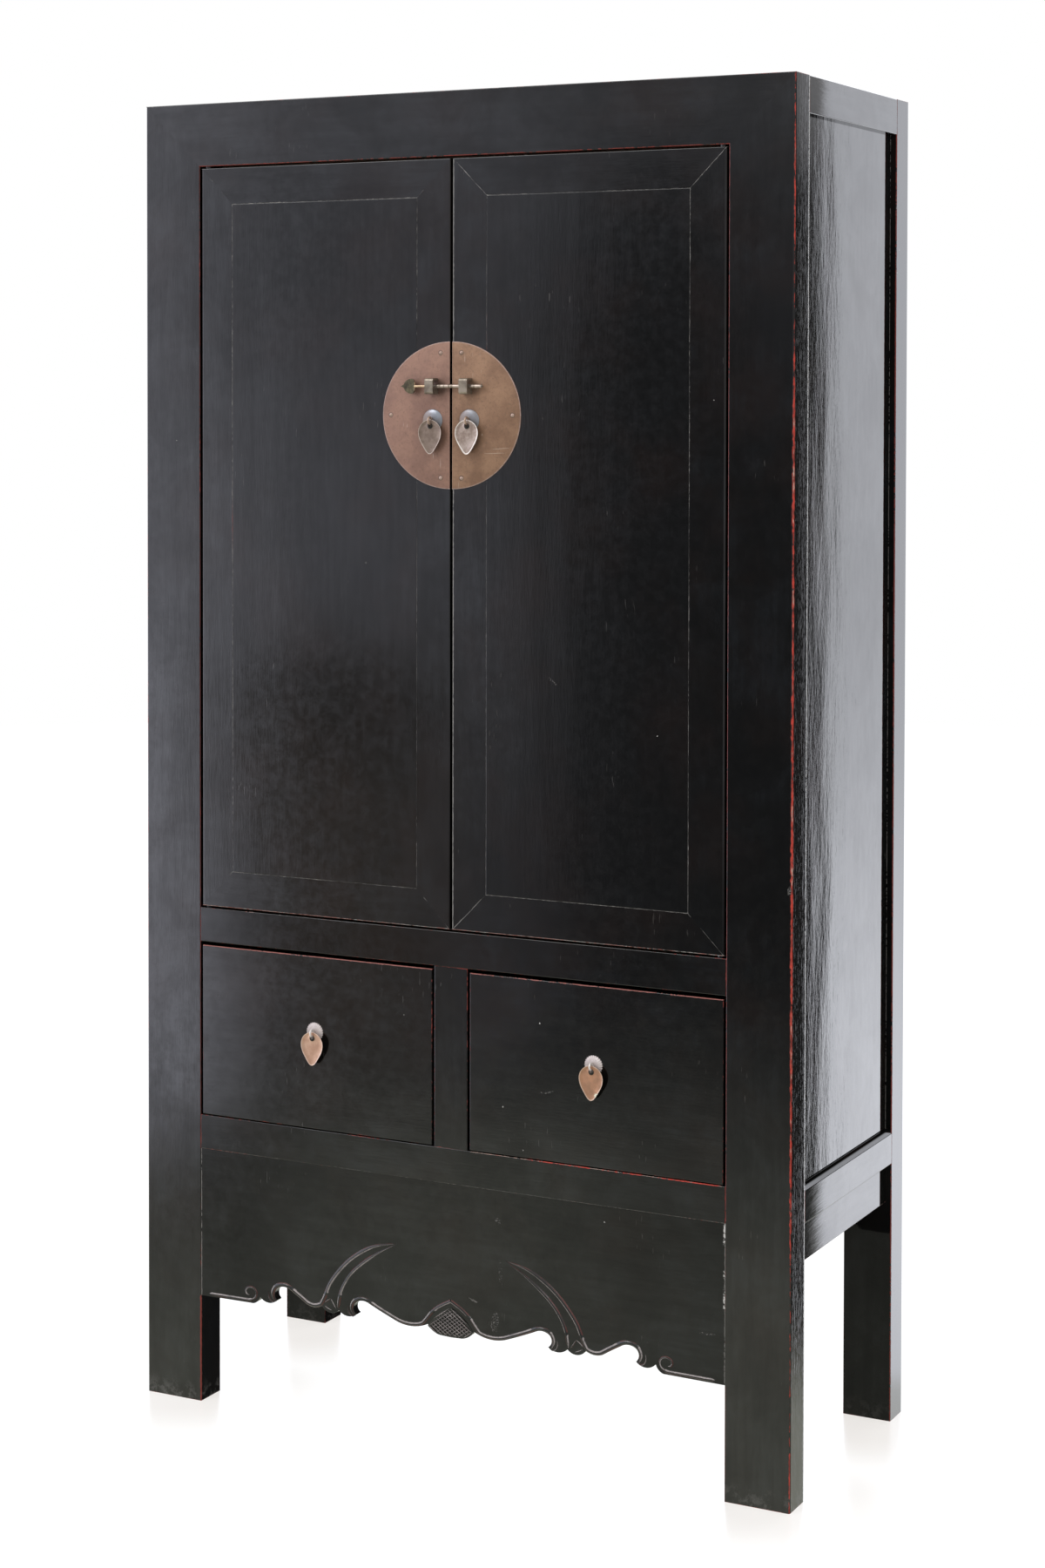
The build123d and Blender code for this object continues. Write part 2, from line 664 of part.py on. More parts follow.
for name, (x, z, base_y, rosette_radius, wall) in pulls.items():
    eye_y = base_y - eye_standoff

    with BuildPart() as pull_mount:
        with BuildSketch(Plane.YZ.offset(x)):
            with BuildLine():
                rim = (base_y - rosette_rim, z + rosette_radius)
                Polyline((base_y, z), (base_y, z + rosette_radius), rim)
                ThreePointArc(rim, (base_y - rosette_shoulder, z + rosette_radius / 2),
                              (base_y - rosette_height, z))
                Line((base_y - rosette_height, z), (base_y, z))
            make_face()
        revolve(axis=Axis((x, 0, z), (0, 1, 0)))
        with Locations(Location((x, eye_y, z), (0, 90, 0))):
            Torus(pull_eye_radius, pull_wire_radius)
        stem_front = eye_y + pull_eye_radius
        stem_back = base_y + wall
        with Locations(Location((x, (stem_front + stem_back) / 2, z), (90, 0, 0))):
            Cylinder(pull_stem_radius, stem_back - stem_front + stem_root)
        with Locations((x, stem_back + clench_size[1] / 2, z)):
            Box(*clench_size)
    save(pull_mount, f"{name}_pull_mount")

    with BuildPart() as pull_leaf:
        with BuildSketch(Plane.XZ.offset(leaf_thickness / 2 - eye_y)):
            with BuildLine():
                top = (x, z + leaf_top)
                tip = (x, z + leaf_top - leaf_length)
                for hand in (-1, 1):
                    Spline(top, (x + hand * leaf_width / 2, z - leaf_shoulder),
                           (x + hand * leaf_taper[0], z - leaf_taper[1]),
                           (x + hand * leaf_end[0], z - leaf_end[1]), tip,
                           tangents=((hand, 0), (-hand, 0)))
            make_face()
            with Locations((x, z - leaf_hole_drop)):
                Circle(leaf_hole_radius, mode=Mode.SUBTRACT)
        extrude(amount=-leaf_thickness)
    save(pull_leaf, f"{name}_pull_leaf")
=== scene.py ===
"""A black lacquered wedding cabinet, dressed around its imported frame.

Metres. X runs from the left side to the right, Y from front to back and Z up. The front faces -Y.
Pieces are shaped in millimetres and scaled when they are finished.
"""
import math

import bmesh
import bpy
from mathutils import Euler, Matrix, Vector
from mathutils.geometry import interpolate_bezier


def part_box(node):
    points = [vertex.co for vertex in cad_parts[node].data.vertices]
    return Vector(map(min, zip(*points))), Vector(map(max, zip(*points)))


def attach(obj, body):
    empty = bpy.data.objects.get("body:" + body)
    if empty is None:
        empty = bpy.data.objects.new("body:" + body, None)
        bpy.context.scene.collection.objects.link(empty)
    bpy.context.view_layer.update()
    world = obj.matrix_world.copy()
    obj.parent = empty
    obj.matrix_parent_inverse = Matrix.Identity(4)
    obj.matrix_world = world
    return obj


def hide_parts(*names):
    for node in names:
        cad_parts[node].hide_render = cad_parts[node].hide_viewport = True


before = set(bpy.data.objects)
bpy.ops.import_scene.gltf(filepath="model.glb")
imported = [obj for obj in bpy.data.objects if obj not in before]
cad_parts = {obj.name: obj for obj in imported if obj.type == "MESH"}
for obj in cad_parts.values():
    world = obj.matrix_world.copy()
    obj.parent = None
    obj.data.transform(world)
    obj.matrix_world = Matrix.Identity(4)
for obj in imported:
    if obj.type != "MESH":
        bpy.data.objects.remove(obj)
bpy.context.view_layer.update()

MM = 0.001
both_sides = {"left": -1, "right": 1}
# The planes of the case's right side, of its front and of the apron behind its raised bead.
side_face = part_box("front_right_post")[1].x
front_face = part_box("front_right_post")[0].y
apron_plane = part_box("front_apron")[0].y + 0.002


# ---- Making nodes -------------------------------------------------------------------------------


class Board:
    """A node tree being wired, for a material, the world or a group."""

    def __init__(self, tree):
        self.tree = tree

    def put(self, socket, value):
        """Link a socket to another one, or set its value."""
        if isinstance(value, bpy.types.NodeSocket):
            self.tree.links.new(value, socket)
        elif value is not None:
            socket.default_value = value

    def node(self, kind, inputs=None, **settings):
        """Add a node with its settings, and fill its inputs by name or number."""
        made = self.tree.nodes.new(kind)
        for key, value in settings.items():
            setattr(made, key, value)
        for key, value in (inputs or {}).items():
            self.put(made.inputs[key], value)
        return made

    def math(self, operation, *values):
        """A number worked out from up to three others."""
        made = self.node("ShaderNodeMath", operation=operation)
        for socket, value in zip(made.inputs, values):
            self.put(socket, value)
        return made.outputs[0]

    def times(self, first, *others):
        """Numbers multiplied together."""
        for other in others:
            first = self.math("MULTIPLY", first, other)
        return first

    def larger(self, first, *others):
        """The largest of some numbers."""
        for other in others:
            first = self.math("MAXIMUM", first, other)
        return first

    def less(self, first, second):
        """One number less another."""
        return self.math("SUBTRACT", first, second)

    def times_add(self, first, second, third):
        """Two numbers multiplied, and a third one added."""
        return self.math("MULTIPLY_ADD", first, second, third)

    def vector(self, operation, first, second=None):
        """A vector, or a length, worked out from one or two others."""
        made = self.node("ShaderNodeVectorMath", operation=operation)
        self.put(made.inputs[0], first)
        self.put(made.inputs[1], second)
        return made.outputs["Value" if operation in ("LENGTH", "DISTANCE") else "Vector"]

    def split(self, vector):
        """The three parts of a vector."""
        return self.node("ShaderNodeSeparateXYZ", {0: vector}).outputs[:]

    def join(self, x, y, z):
        """A vector from its three parts."""
        return self.node("ShaderNodeCombineXYZ", {0: x, 1: y, 2: z}).outputs[0]

    def ramp(self, value, low, high, out_low=0.0, out_high=1.0):
        """A value carried smoothly from one span to another, and held at its ends."""
        made = self.node("ShaderNodeMapRange", interpolation_type="SMOOTHSTEP")
        for socket, number in zip(made.inputs, (value, low, high, out_low, out_high)):
            self.put(socket, number)
        return made.outputs[0]

    def blend(self, share, first, second):
        """Two colours mixed."""
        made = self.node("ShaderNodeMix", {"Factor": share}, data_type="RGBA")
        self.put(made.inputs[6], first)
        self.put(made.inputs[7], second)
        return made.outputs[2]

    def noise(self, place, scale, detail=2.0, roughness=0.5, distortion=0.0):
        """Soft noise from 0 to 1, about 0.5."""
        made = self.node("ShaderNodeTexNoise", {"Vector": place, "Scale": scale, "Detail": detail,
                                                "Roughness": roughness, "Distortion": distortion})
        return made.outputs["Fac"]

    def here(self):
        """Object coordinates."""
        return self.node("ShaderNodeTexCoord").outputs["Object"]

    def place(self, move=(0, 0, 0), stretch=(1, 1, 1)):
        """Object coordinates, moved and stretched."""
        return self.node("ShaderNodeMapping", {"Vector": self.here(), "Location": move,
                                               "Scale": stretch}).outputs[0]

    def seeded(self, seed):
        """Object coordinates, moved by a seed along every axis."""
        return self.vector("ADD", self.here(), self.join(seed, seed, seed))

    def inset(self, low, high):
        """How far inside a box a point is, from the nearer face along each axis."""
        here = self.here()
        return self.vector("MINIMUM", self.vector("SUBTRACT", here, low), self.vector("SUBTRACT", high, here))

    def apart(self, place, across):
        """How far a point is from a place, measured in the directions that across names."""
        from_place = self.vector("SUBTRACT", self.here(), place)
        return self.vector("LENGTH", self.vector("MULTIPLY", from_place, across))

    def layer(self, name):
        """A number that the shape's vertices keep."""
        return self.node("ShaderNodeAttribute", attribute_name=name).outputs["Fac"]

    def shade(self, kind, **inputs):
        """The output of one plain shader."""
        return self.node(f"ShaderNode{kind}", inputs).outputs[0]

    def mix(self, share, first, second):
        """Two shaders mixed."""
        return self.node("ShaderNodeMixShader", {0: share, 1: first, 2: second}).outputs[0]

    def add(self, first, second):
        """Two shaders added."""
        return self.node("ShaderNodeAddShader", {0: first, 1: second}).outputs[0]

    def use(self, group, **inputs):
        """Place a node group with its values."""
        made = self.node("ShaderNodeGroup", node_tree=group)
        for name, value in inputs.items():
            self.put(made.inputs[name], value)
        return made.outputs


def node_group(name, inputs, outputs):
    """An empty shader node group, with its input and output sockets."""
    tree = bpy.data.node_groups.new(name, "ShaderNodeTree")
    kinds = {float: "NodeSocketFloat", tuple: "NodeSocketVector"}
    for label, value in inputs.items():
        socket = tree.interface.new_socket(label, in_out="INPUT", socket_type=kinds[type(value)])
        socket.default_value = value
    for label in outputs:
        tree.interface.new_socket(label, in_out="OUTPUT", socket_type="NodeSocketFloat")
    board = Board(tree)
    return tree, board, board.node("NodeGroupInput").outputs, board.node("NodeGroupOutput").inputs


def edge_group():
    """Wear along the edges of a board, uneven and up to a width."""
    tree, board, given, out = node_group(
        "board edges", {"Low": (0, 0, 0), "High": (1, 1, 1), "Width": 0.002, "Break": 0.5, "Seed": 0.0},
        ["Worn"])
    x, y, z = board.split(board.inset(given["Low"], given["High"]))
    from_edge = board.larger(board.math("MINIMUM", x, y), board.math("MINIMUM", board.larger(x, y), z))
    shifted = board.seeded(given["Seed"])
    wide = board.ramp(board.noise(shifted, 9.0, 3.0, 0.6), 0.35, 0.7)
    fine = board.ramp(board.noise(shifted, 160.0, 3.0, 0.7), 0.4, 0.7)
    uneven = board.times(board.math("ADD", wide, fine), 0.5)
    reach = board.times_add(uneven, given["Break"], board.less(1.0, given["Break"]))
    reach = board.times(reach, reach, given["Width"])
    share = board.math("DIVIDE", from_edge, board.larger(reach, 1e-5))
    board.put(out["Worn"], board.ramp(share, 1.1, 0.55))
    return tree


def mitre_group():
    """A fine line along the mitred corners of a frame in the XZ plane."""
    tree, board, given, out = node_group(
        "mitre line", {"Low": (0, 0, 0), "High": (1, 0, 1), "Slope": 1.0, "Reach": 0.053, "Width": 0.0006},
        ["Line"])
    x, y, z = board.split(board.inset(given["Low"], given["High"]))
    from_line = board.math("ABSOLUTE", board.times_add(x, given["Slope"], board.times(z, -1.0)))
    uneven = board.ramp(board.noise(board.here(), 45.0, 3.0, 0.7), 0.35, 0.62, 0.35, 1.5)
    share = board.math("DIVIDE", from_line, board.times(given["Width"], uneven))
    inside = board.math("LESS_THAN", x, given["Reach"])
    board.put(out["Line"], board.times(board.ramp(share, 1.2, 0.4), inside))
    return tree


def corner_group():
    """Wear along one upright corner of a post, with red showing wide and chips to the wood inside it."""
    tree, board, given, out = node_group(
        "rubbed corner", {"Corner": (0, 0, 0), "Width": 0.003, "Seed": 0.0}, ["Rubbed", "Chipped"])
    shifted = board.vector("ADD", board.here(), board.join(0.0, 0.0, given["Seed"]))

    def streaks(lengthwise, scale, detail, roughness):
        """Noise that is drawn out along the corner."""
        return board.noise(board.vector("MULTIPLY", shifted, (1, 1, lengthwise)), scale, detail, roughness)

    up = board.split(board.here())[2]
    by_height = board.times(board.ramp(up, 0.25, 0.75, 0.55, 1.0), board.ramp(up, 1.35, 1.65, 1.0, 0.55))
    reach = board.times(board.ramp(streaks(0.35, 14.0, 2.0, 0.6), 0.32, 0.68, 0.55, 1.0),
                        board.ramp(streaks(0.3, 220.0, 4.0, 0.75), 0.3, 0.7, 0.55, 1.35), by_height)
    share = board.math("DIVIDE", board.apart(given["Corner"], (1, 1, 0)), board.times(reach, given["Width"]))
    gaps = board.ramp(streaks(0.6, 60.0, 4.0, 0.8), 0.33, 0.42)
    chips = board.ramp(streaks(0.3, 80.0, 4.0, 0.8), 0.53, 0.62)
    board.put(out["Rubbed"], board.times(board.ramp(share, 1.15, 0.7), gaps))
    board.put(out["Chipped"], board.times(board.ramp(share, 0.72, 0.4), chips))
    return tree


def ripple_group():
    """The brushed waves and slow swells of a lacquered board, as a height in metres."""
    tree, board, given, out = node_group(
        "lacquer ripple",
        {"Stretch": (1, 1, 1), "Brush": 1.0, "Fine": 1.0, "Swell": 1.0, "Seed": 0.0}, ["Height"])
    along = board.vector("MULTIPLY", board.seeded(given["Seed"]), given["Stretch"])
    brush = board.less(board.noise(along, 430.0, 2.0, 0.6), 0.5)
    grain = board.less(board.noise(along, 110.0, 2.0, 0.5), 0.5)
    swell = board.less(board.noise(along, 14.0, 1.0, 0.4), 0.5)
    fine = board.times_add(board.times(brush, given["Brush"]), 1.5e-5, board.times(grain, 1.2e-5))
    board.put(out["Height"], board.math("ADD", board.times(fine, given["Fine"]),
                                        board.times(swell, 1.6e-4, given["Swell"])))
    return tree


def speck_group():
    """Scattered pale specks and short scratches."""
    tree, board, given, out = node_group(
        "specks and scratches", {"Scale": 30.0, "Share": 0.2, "Seed": 0.0}, ["Specks", "Scratches"])
    shifted = board.seeded(given["Seed"])
    cells = board.node("ShaderNodeTexVoronoi", {"Vector": shifted, "Scale": given["Scale"]})
    chance = board.split(cells.outputs["Color"])
    some = board.math("LESS_THAN", chance[0], given["Share"])
    size = board.times_add(board.times(chance[1], chance[1]), 0.022, 0.016)
    dots = board.math("LESS_THAN", cells.outputs["Distance"], size)
    board.put(out["Specks"], board.times(dots, some))
    threads = board.noise(board.vector("MULTIPLY", shifted, (1.0, 1.0, 0.12)), 420.0, 1.0, 0.4)
    patches = board.noise(shifted, 11.0, 2.0, 0.5)
    board.put(out["Scratches"], board.times(board.ramp(threads, 0.71, 0.76), board.ramp(patches, 0.6, 0.68)))
    return tree


def scuff_group():
    """One scuffed patch at a place on the front, turned and broken up."""
    tree, board, given, out = node_group(
        "scuff", {"Place": (0, 0, 0), "Size": (0.02, 1.0, 0.005), "Turn": (0, 0, 0), "Cover": 0.5}, ["Scuff"])
    from_place = board.vector("SUBTRACT", board.here(), given["Place"])
    turned_place = board.node("ShaderNodeVectorRotate", {"Vector": from_place, "Rotation": given["Turn"]},
                              rotation_type="EULER_XYZ").outputs[0]
    near = board.ramp(board.vector("LENGTH", board.vector("DIVIDE", turned_place, given["Size"])), 1.0, 0.3)
    broken = board.noise(board.vector("MULTIPLY", turned_place, (1.0, 1.0, 2.2)), 330.0, 4.0, 0.75)
    need = board.less(0.92, board.times(near, given["Cover"], 0.63))
    board.put(out["Scuff"], board.times(near, board.ramp(board.less(broken, need), 0.0, 0.06)))
    return tree


def line_group():
    """A fine worn line along an edge or a joint, broken along its length. Across names the directions
    in which its width is measured."""
    tree, board, given, out = node_group(
        "worn line", {"Place": (0, 0, 0), "Across": (1, 0, 0), "Width": 0.001, "Break": 0.5, "Seed": 0.0},
        ["Line"])
    shifted = board.seeded(given["Seed"])
    wide = board.noise(shifted, 16.0, 3.0, 0.7)
    fine = board.noise(shifted, 210.0, 3.0, 0.7)
    kept = board.math("ADD", board.ramp(wide, 0.38, 0.6), board.ramp(fine, 0.4, 0.62))
    kept = board.ramp(board.less(kept, board.times(given["Break"], 1.4)), -0.25, 0.25)
    uneven_width = board.times(given["Width"], board.ramp(fine, 0.3, 0.7, 0.7, 1.3))
    share = board.math("DIVIDE", board.apart(given["Place"], given["Across"]), uneven_width)
    board.put(out["Line"], board.times(board.ramp(share, 1.1, 0.5), kept))
    return tree


edges = edge_group()
worn_line = line_group()
mitre = mitre_group()
rubbed = corner_group()
ripple = ripple_group()
specks = speck_group()
scuff = scuff_group()


def scuffed(board, place, size, turn=0, cover=1.0):
    """One scuffed patch on the front, by its size across and up and its turn in degrees."""
    return board.use(scuff, Place=place, Size=(size[0], 1.0, size[1]), Turn=(0, math.radians(turn), 0),
                     Cover=cover)["Scuff"]


# ---- Finishes -----------------------------------------------------------------------------------

black = (0.0040, 0.0041, 0.0038, 1)
dark_brown = (0.0085, 0.0058, 0.0048, 1)
smoke = (0.0100, 0.0116, 0.0132, 1)
red_coat = (0.24, 0.024, 0.015, 1)
bright_red = (0.60, 0.050, 0.030, 1)
pink_red = (0.36, 0.12, 0.10, 1)
raw_wood = (0.62, 0.44, 0.36, 1)
pale_dust = (0.34, 0.32, 0.30, 1)
# Pale chips in the lacquer; along the side rails' top edges it is partly a painted highlight.
pale_chip_and_highlight = (0.75, 0.73, 0.70, 1)
# How a grain is stretched along an axis.
along_x = (0.10, 1.0, 1.0)
along_y = (1.0, 0.10, 1.0)
along_z = (1.0, 1.0, 0.10)
# The directions across an upright edge, a level one and one that runs from front to back.
upright = (1, 1, 0)
level = (0, 1, 1)
front_to_back = (1, 0, 1)
# How far from the middle the posts' fronts go over into their sides, which have another gloss.
side_start = (0.5092, 0.5104)


def new_material(name):
    """An empty node material and its wiring board, with a shader feeding the surface."""
    material = bpy.data.materials.new(name)
    material.use_nodes = True
    material.node_tree.nodes.clear()
    board = Board(material.node_tree)
    shader = board.node("ShaderNodeBsdfPrincipled")
    board.node("ShaderNodeOutputMaterial", {"Surface": shader.outputs[0]})
    return material, board, shader


def finish(board, shader, colour, rough, height, metallic=0.0):
    """Feed a surface's colour, roughness and relief to its shader."""
    relief = board.node("ShaderNodeBump", {"Strength": 1.0, "Distance": 1.0, "Height": height})
    board.put(shader.inputs["Base Color"], colour)
    board.put(shader.inputs["Roughness"], rough)
    board.put(shader.inputs["Normal"], relief.outputs[0])
    shader.inputs["Metallic"].default_value = metallic


def lacquer(name, low, high, grain, seed, worn=0.0012, red=0.35, gloss=0.10, fine=1.0, swell=1.0, brush=1.0,
            frame_box=None, slope=1.0, reach=0.0, mitred=0.3, corner=None, scuffs=(), lines=(), dusty=0.0,
            side_gloss=None, shine=0.5, side_shine=None, seams=(), haze=0.7, speckled=0.08):
    """Black lacquer over a red coat on one board, worn through along its edges.

    Lines are (place, across, width, colour, strength, breaks) and may end with an axis and its span.
    Scuffs are (centre, size, turn in degrees, cover), seams are (place, across, width) and a corner is
    (place, width).
    """
    material, board, shader = new_material(name)
    here = board.place(move=(seed, 2 * seed, 3 * seed))
    colour = board.blend(board.ramp(board.noise(here, 6.0, 4.0, 0.6), 0.42, 0.72), black, dark_brown)
    fine_tone = board.noise(here, 70.0, 4.0, 0.7)
    smudges = board.noise(here, 10.0, 6.0, 0.68, 0.4)
    strokes = board.noise(board.place(move=(seed, seed, seed), stretch=grain), 95.0, 4.0, 0.65)
    cloudy = board.times(board.ramp(smudges, 0.46, 0.70), board.ramp(strokes, 0.36, 0.66, 0.35, 1.0))
    colour = board.blend(board.times(cloudy, haze), colour, smoke)
    worn_edges = board.use(edges, Low=low, High=high, Width=worn, Break=0.85, Seed=seed)["Worn"]
    red_share = board.ramp(board.noise(here, 5.0, 2.0, 0.5), 0.62 - 0.4 * red, 0.72 - 0.4 * red)
    colour = board.blend(worn_edges, colour, board.blend(red_share, pale_dust, red_coat))
    dull = worn_edges

    def show(mask, shade):
        """Lay a mark over the lacquer, and dull the gloss under it."""
        nonlocal colour, dull
        colour = board.blend(mask, colour, shade)
        dull = board.larger(dull, mask)

    if frame_box:
        line = board.use(mitre, Low=frame_box[0], High=frame_box[1], Slope=slope, Reach=reach)["Line"]
        kept = board.ramp(board.noise(here, 38.0, 3.0, 0.7), 0.66 - 0.4 * mitred, 0.74 - 0.4 * mitred)
        show(board.times(line, kept, 0.6), pale_dust)
    marks = board.use(specks, Scale=34.0, Share=speckled, Seed=seed)
    show(board.times(marks["Scratches"], 0.12), pale_dust)
    show(marks["Specks"], pale_chip_and_highlight)
    x, y, z = board.split(board.here())
    for number, (place, across, width, shade, strength, breaks, *span) in enumerate(lines):
        line = board.use(worn_line, Place=place, Across=across, Width=width, Break=breaks,
                         Seed=seed + 1.3 * number)["Line"]
        line = board.times(line, strength)
        if span:
            axis, start, end = span
            along = {"x": x, "z": z}[axis]
            line = board.times(line, board.ramp(along, start, start + 0.003),
                               board.ramp(along, end, end - 0.003))
        show(line, shade)
    for centre, size, turn, cover in scuffs:
        show(board.times(scuffed(board, centre, size, turn, cover), 0.55), pale_dust)
    if corner:
        wear = board.use(rubbed, Corner=corner[0], Width=corner[1], Seed=seed)
        show(wear["Rubbed"], board.blend(board.ramp(fine_tone, 0.4, 0.6), red_coat, bright_red))
        colour = board.blend(wear["Chipped"], colour, raw_wood)
    if dusty:
        show(board.times(board.ramp(z, 0.035, 0.0), board.ramp(fine_tone, 0.48, 0.62), dusty), pale_dust)

    across = board.math("ABSOLUTE", x)
    rough = board.ramp(fine_tone, 0.3, 0.75, gloss * 0.85, gloss * 1.35)
    if side_gloss:
        rough = board.ramp(across, *side_start, rough, side_gloss)
    shader.inputs["IOR"].default_value = 1.5
    shader.inputs["Specular IOR Level"].default_value = shine
    shine = board.times(shine, board.ramp(smudges, 0.32, 0.66, 1.0 - 0.17 * haze, 1.0 + 0.14 * haze),
                        board.ramp(strokes, 0.32, 0.68, 0.94, 1.06))
    if side_shine:
        shine = board.ramp(across, *side_start, shine, side_shine)
    for place, across, width in seams:
        shine = board.times(shine, board.ramp(board.apart(place, across), 0.45 * width, 1.1 * width))
    board.put(shader.inputs["Specular IOR Level"], shine)
    height = board.use(ripple, Stretch=grain, Brush=brush, Fine=fine, Swell=swell, Seed=seed)["Height"]
    finish(board, shader, colour, board.times_add(dull, 0.45, rough), board.times_add(dull, -6e-5, height))
    return material


def carved_lacquer(name, red_side, from_low, to_high):
    """Black lacquer on the carving, pale along the crests, mostly on their upper flank, as rubbed wear and as
    a painted highlight, and red along their feet.
    """
    material, board, shader = new_material(name)
    here = board.place(move=(0.7, 0.2, 0.4))
    soft = board.noise(here, 26.0, 3.0, 0.6)
    fine = board.noise(here, 240.0, 4.0, 0.7)
    crest = board.layer("crest")
    flank = board.layer("flank")
    on_leaf = board.ramp(board.split(board.here())[2], 0.186, 0.194)
    low_side = board.times_add(on_leaf, board.times_add(flank, -2.0, 1.0), flank)
    red_foot = board.times(board.ramp(low_side, 0.34, 0.14), board.ramp(soft, 0.38, 0.56, 0.15, 1.0),
                           board.ramp(crest, 0.04, 0.12))
    colour = board.blend(board.times(red_foot, red_side), black, (0.23, 0.035, 0.022, 1))
    # Pale band on the crests, away from their lower side: partly rubbed wear, partly a painted highlight.
    crest_wear_and_highlight = board.times(board.ramp(low_side, *from_low), board.ramp(low_side, *to_high),
                               board.ramp(fine, 0.30, 0.55, 0.45, 1.0), board.ramp(crest, 0.05, 0.3),
                               board.ramp(soft, 0.30, 0.46, 0.45, 0.95))
    colour = board.blend(crest_wear_and_highlight, colour, (0.42, 0.37, 0.36, 1))
    rough = board.times_add(board.larger(crest_wear_and_highlight, red_foot), 0.30, 0.16)
    finish(board, shader, colour, rough, board.times(board.less(fine, 0.5), 6e-5))
    return material


def inner_wood(name, grain, seed):
    """Plain brown wood, thinly stained, with grain along one axis."""
    material, board, shader = new_material(name)
    light = (0.27, 0.150, 0.078, 1)
    dark = (0.125, 0.062, 0.032, 1)
    here = board.place(move=(seed, seed, seed), stretch=tuple(0.35 * part for part in grain))
    rings = board.noise(here, 60.0, 5.0, 0.62, 0.8)
    drawn_out = board.place(move=(seed, 0, seed), stretch=tuple(part ** 1.4 for part in grain))
    pores = board.noise(drawn_out, 520.0, 2.0, 0.6)
    stains = board.noise(board.place(move=(seed, seed, 0)), 5.0, 3.0, 0.6)
    colour = board.blend(board.ramp(rings, 0.32, 0.68), dark, light)
    colour = board.blend(board.ramp(stains, 0.35, 0.75, 0.0, 0.45), colour, dark)
    colour = board.blend(board.ramp(pores, 0.56, 0.70, 0.0, 0.6), colour, (0.05, 0.026, 0.015, 1))
    height = board.times_add(board.ramp(pores, 0.5, 0.72), -1.2e-4, board.times(rings, 2.0e-4))
    finish(board, shader, colour, board.ramp(rings, 0.3, 0.7, 0.62, 0.50), height)
    return material


def aged_metal(name, light, dark, metallic, rough, seed, low=None, high=None):
    """Old copper alloy, mottled and scratched, and rubbed bright along the edges of a box."""
    material, board, shader = new_material(name)
    rim = (0.55, 0.48, 0.40, 1)
    here = board.place(move=(seed, 0, seed))
    clouds = board.noise(here, 55.0, 5.0, 0.65)
    pits = board.noise(here, 420.0, 3.0, 0.7)
    colour = board.blend(board.ramp(clouds, 0.34, 0.66), light, dark)
    colour = board.blend(board.ramp(pits, 0.58, 0.72, 0.0, 0.5), colour, dark)
    marks = board.use(specks, Scale=120.0, Share=0.25, Seed=seed + 0.3)
    colour = board.blend(board.times(marks["Scratches"], 0.4), colour, rim)
    if low is not None:
        near = board.use(edges, Low=low, High=high, Width=0.0009, Break=0.6, Seed=seed)["Worn"]
        colour = board.blend(board.times(near, 0.8), colour, rim)
    height = board.times_add(pits, 4.0e-5, board.times(board.noise(here, 130.0, 1.0, 0.4), 1.2e-4))
    finish(board, shader, colour, board.ramp(clouds, 0.3, 0.7, rough * 0.8, rough * 1.25), height, metallic)
    return material


# ---- Shapes -------------------------------------------------------------------------------------


def new_piece(name, shape, body, material, smooth_angle=35, replaces=()):
    """Turn a finished bmesh, in millimetres, into a piece that rides on a body."""
    bmesh.ops.scale(shape, vec=(MM, MM, MM), verts=shape.verts)
    mesh = bpy.data.meshes.new(name)
    shape.to_mesh(mesh)
    shape.free()
    mesh.shade_smooth()
    mesh.set_sharp_from_angle(angle=math.radians(smooth_angle))
    mesh.materials.append(material)
    piece = bpy.data.objects.new(name, mesh)
    bpy.context.scene.collection.objects.link(piece)
    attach(piece, body)
    if replaces:
        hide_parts(*replaces)


def everything(shape):
    """All of a shape's vertices, edges and faces."""
    return shape.verts[:] + shape.edges[:] + shape.faces[:]


def edges_within(shape, verts):
    """The edges that join some of a shape's vertices."""
    return [edge for edge in shape.edges if edge.verts[0] in verts and edge.verts[1] in verts]


def ease(shape, sharp_edges, amount, segments=2):
    """Round edges over."""
    bmesh.ops.bevel(shape, geom=sharp_edges, offset=amount, offset_type="OFFSET", segments=segments,
                    profile=0.5, affect="EDGES", material=-1, clamp_overlap=True)


def pulled(shape, faces, move):
    """Extrude faces and move what is new; gives back its vertices."""
    made = bmesh.ops.extrude_face_region(shape, geom=faces)["geom"]
    verts = [item for item in made if isinstance(item, bmesh.types.BMVert)]
    bmesh.ops.translate(shape, vec=move, verts=verts)
    return verts


def spun(shape, before, section, axis, steps):
    """Spin a section a full turn about an axis; gives back all the vertices added since before."""
    bmesh.ops.spin(shape, geom=section, cent=(0, 0, 0), axis=axis, angle=2 * math.pi, steps=steps,
                   use_merge=True)
    made = [vert for vert in shape.verts if vert not in before]
    bmesh.ops.remove_doubles(shape, verts=made, dist=0.01)
    return [vert for vert in shape.verts if vert not in before]


def mirrored(shape):
    """Add the other half of a shape that lies on one side of x = 0, and merge the two."""
    bmesh.ops.mirror(shape, geom=everything(shape), axis="X", merge_dist=0.02)
    bmesh.ops.recalc_face_normals(shape, faces=shape.faces)


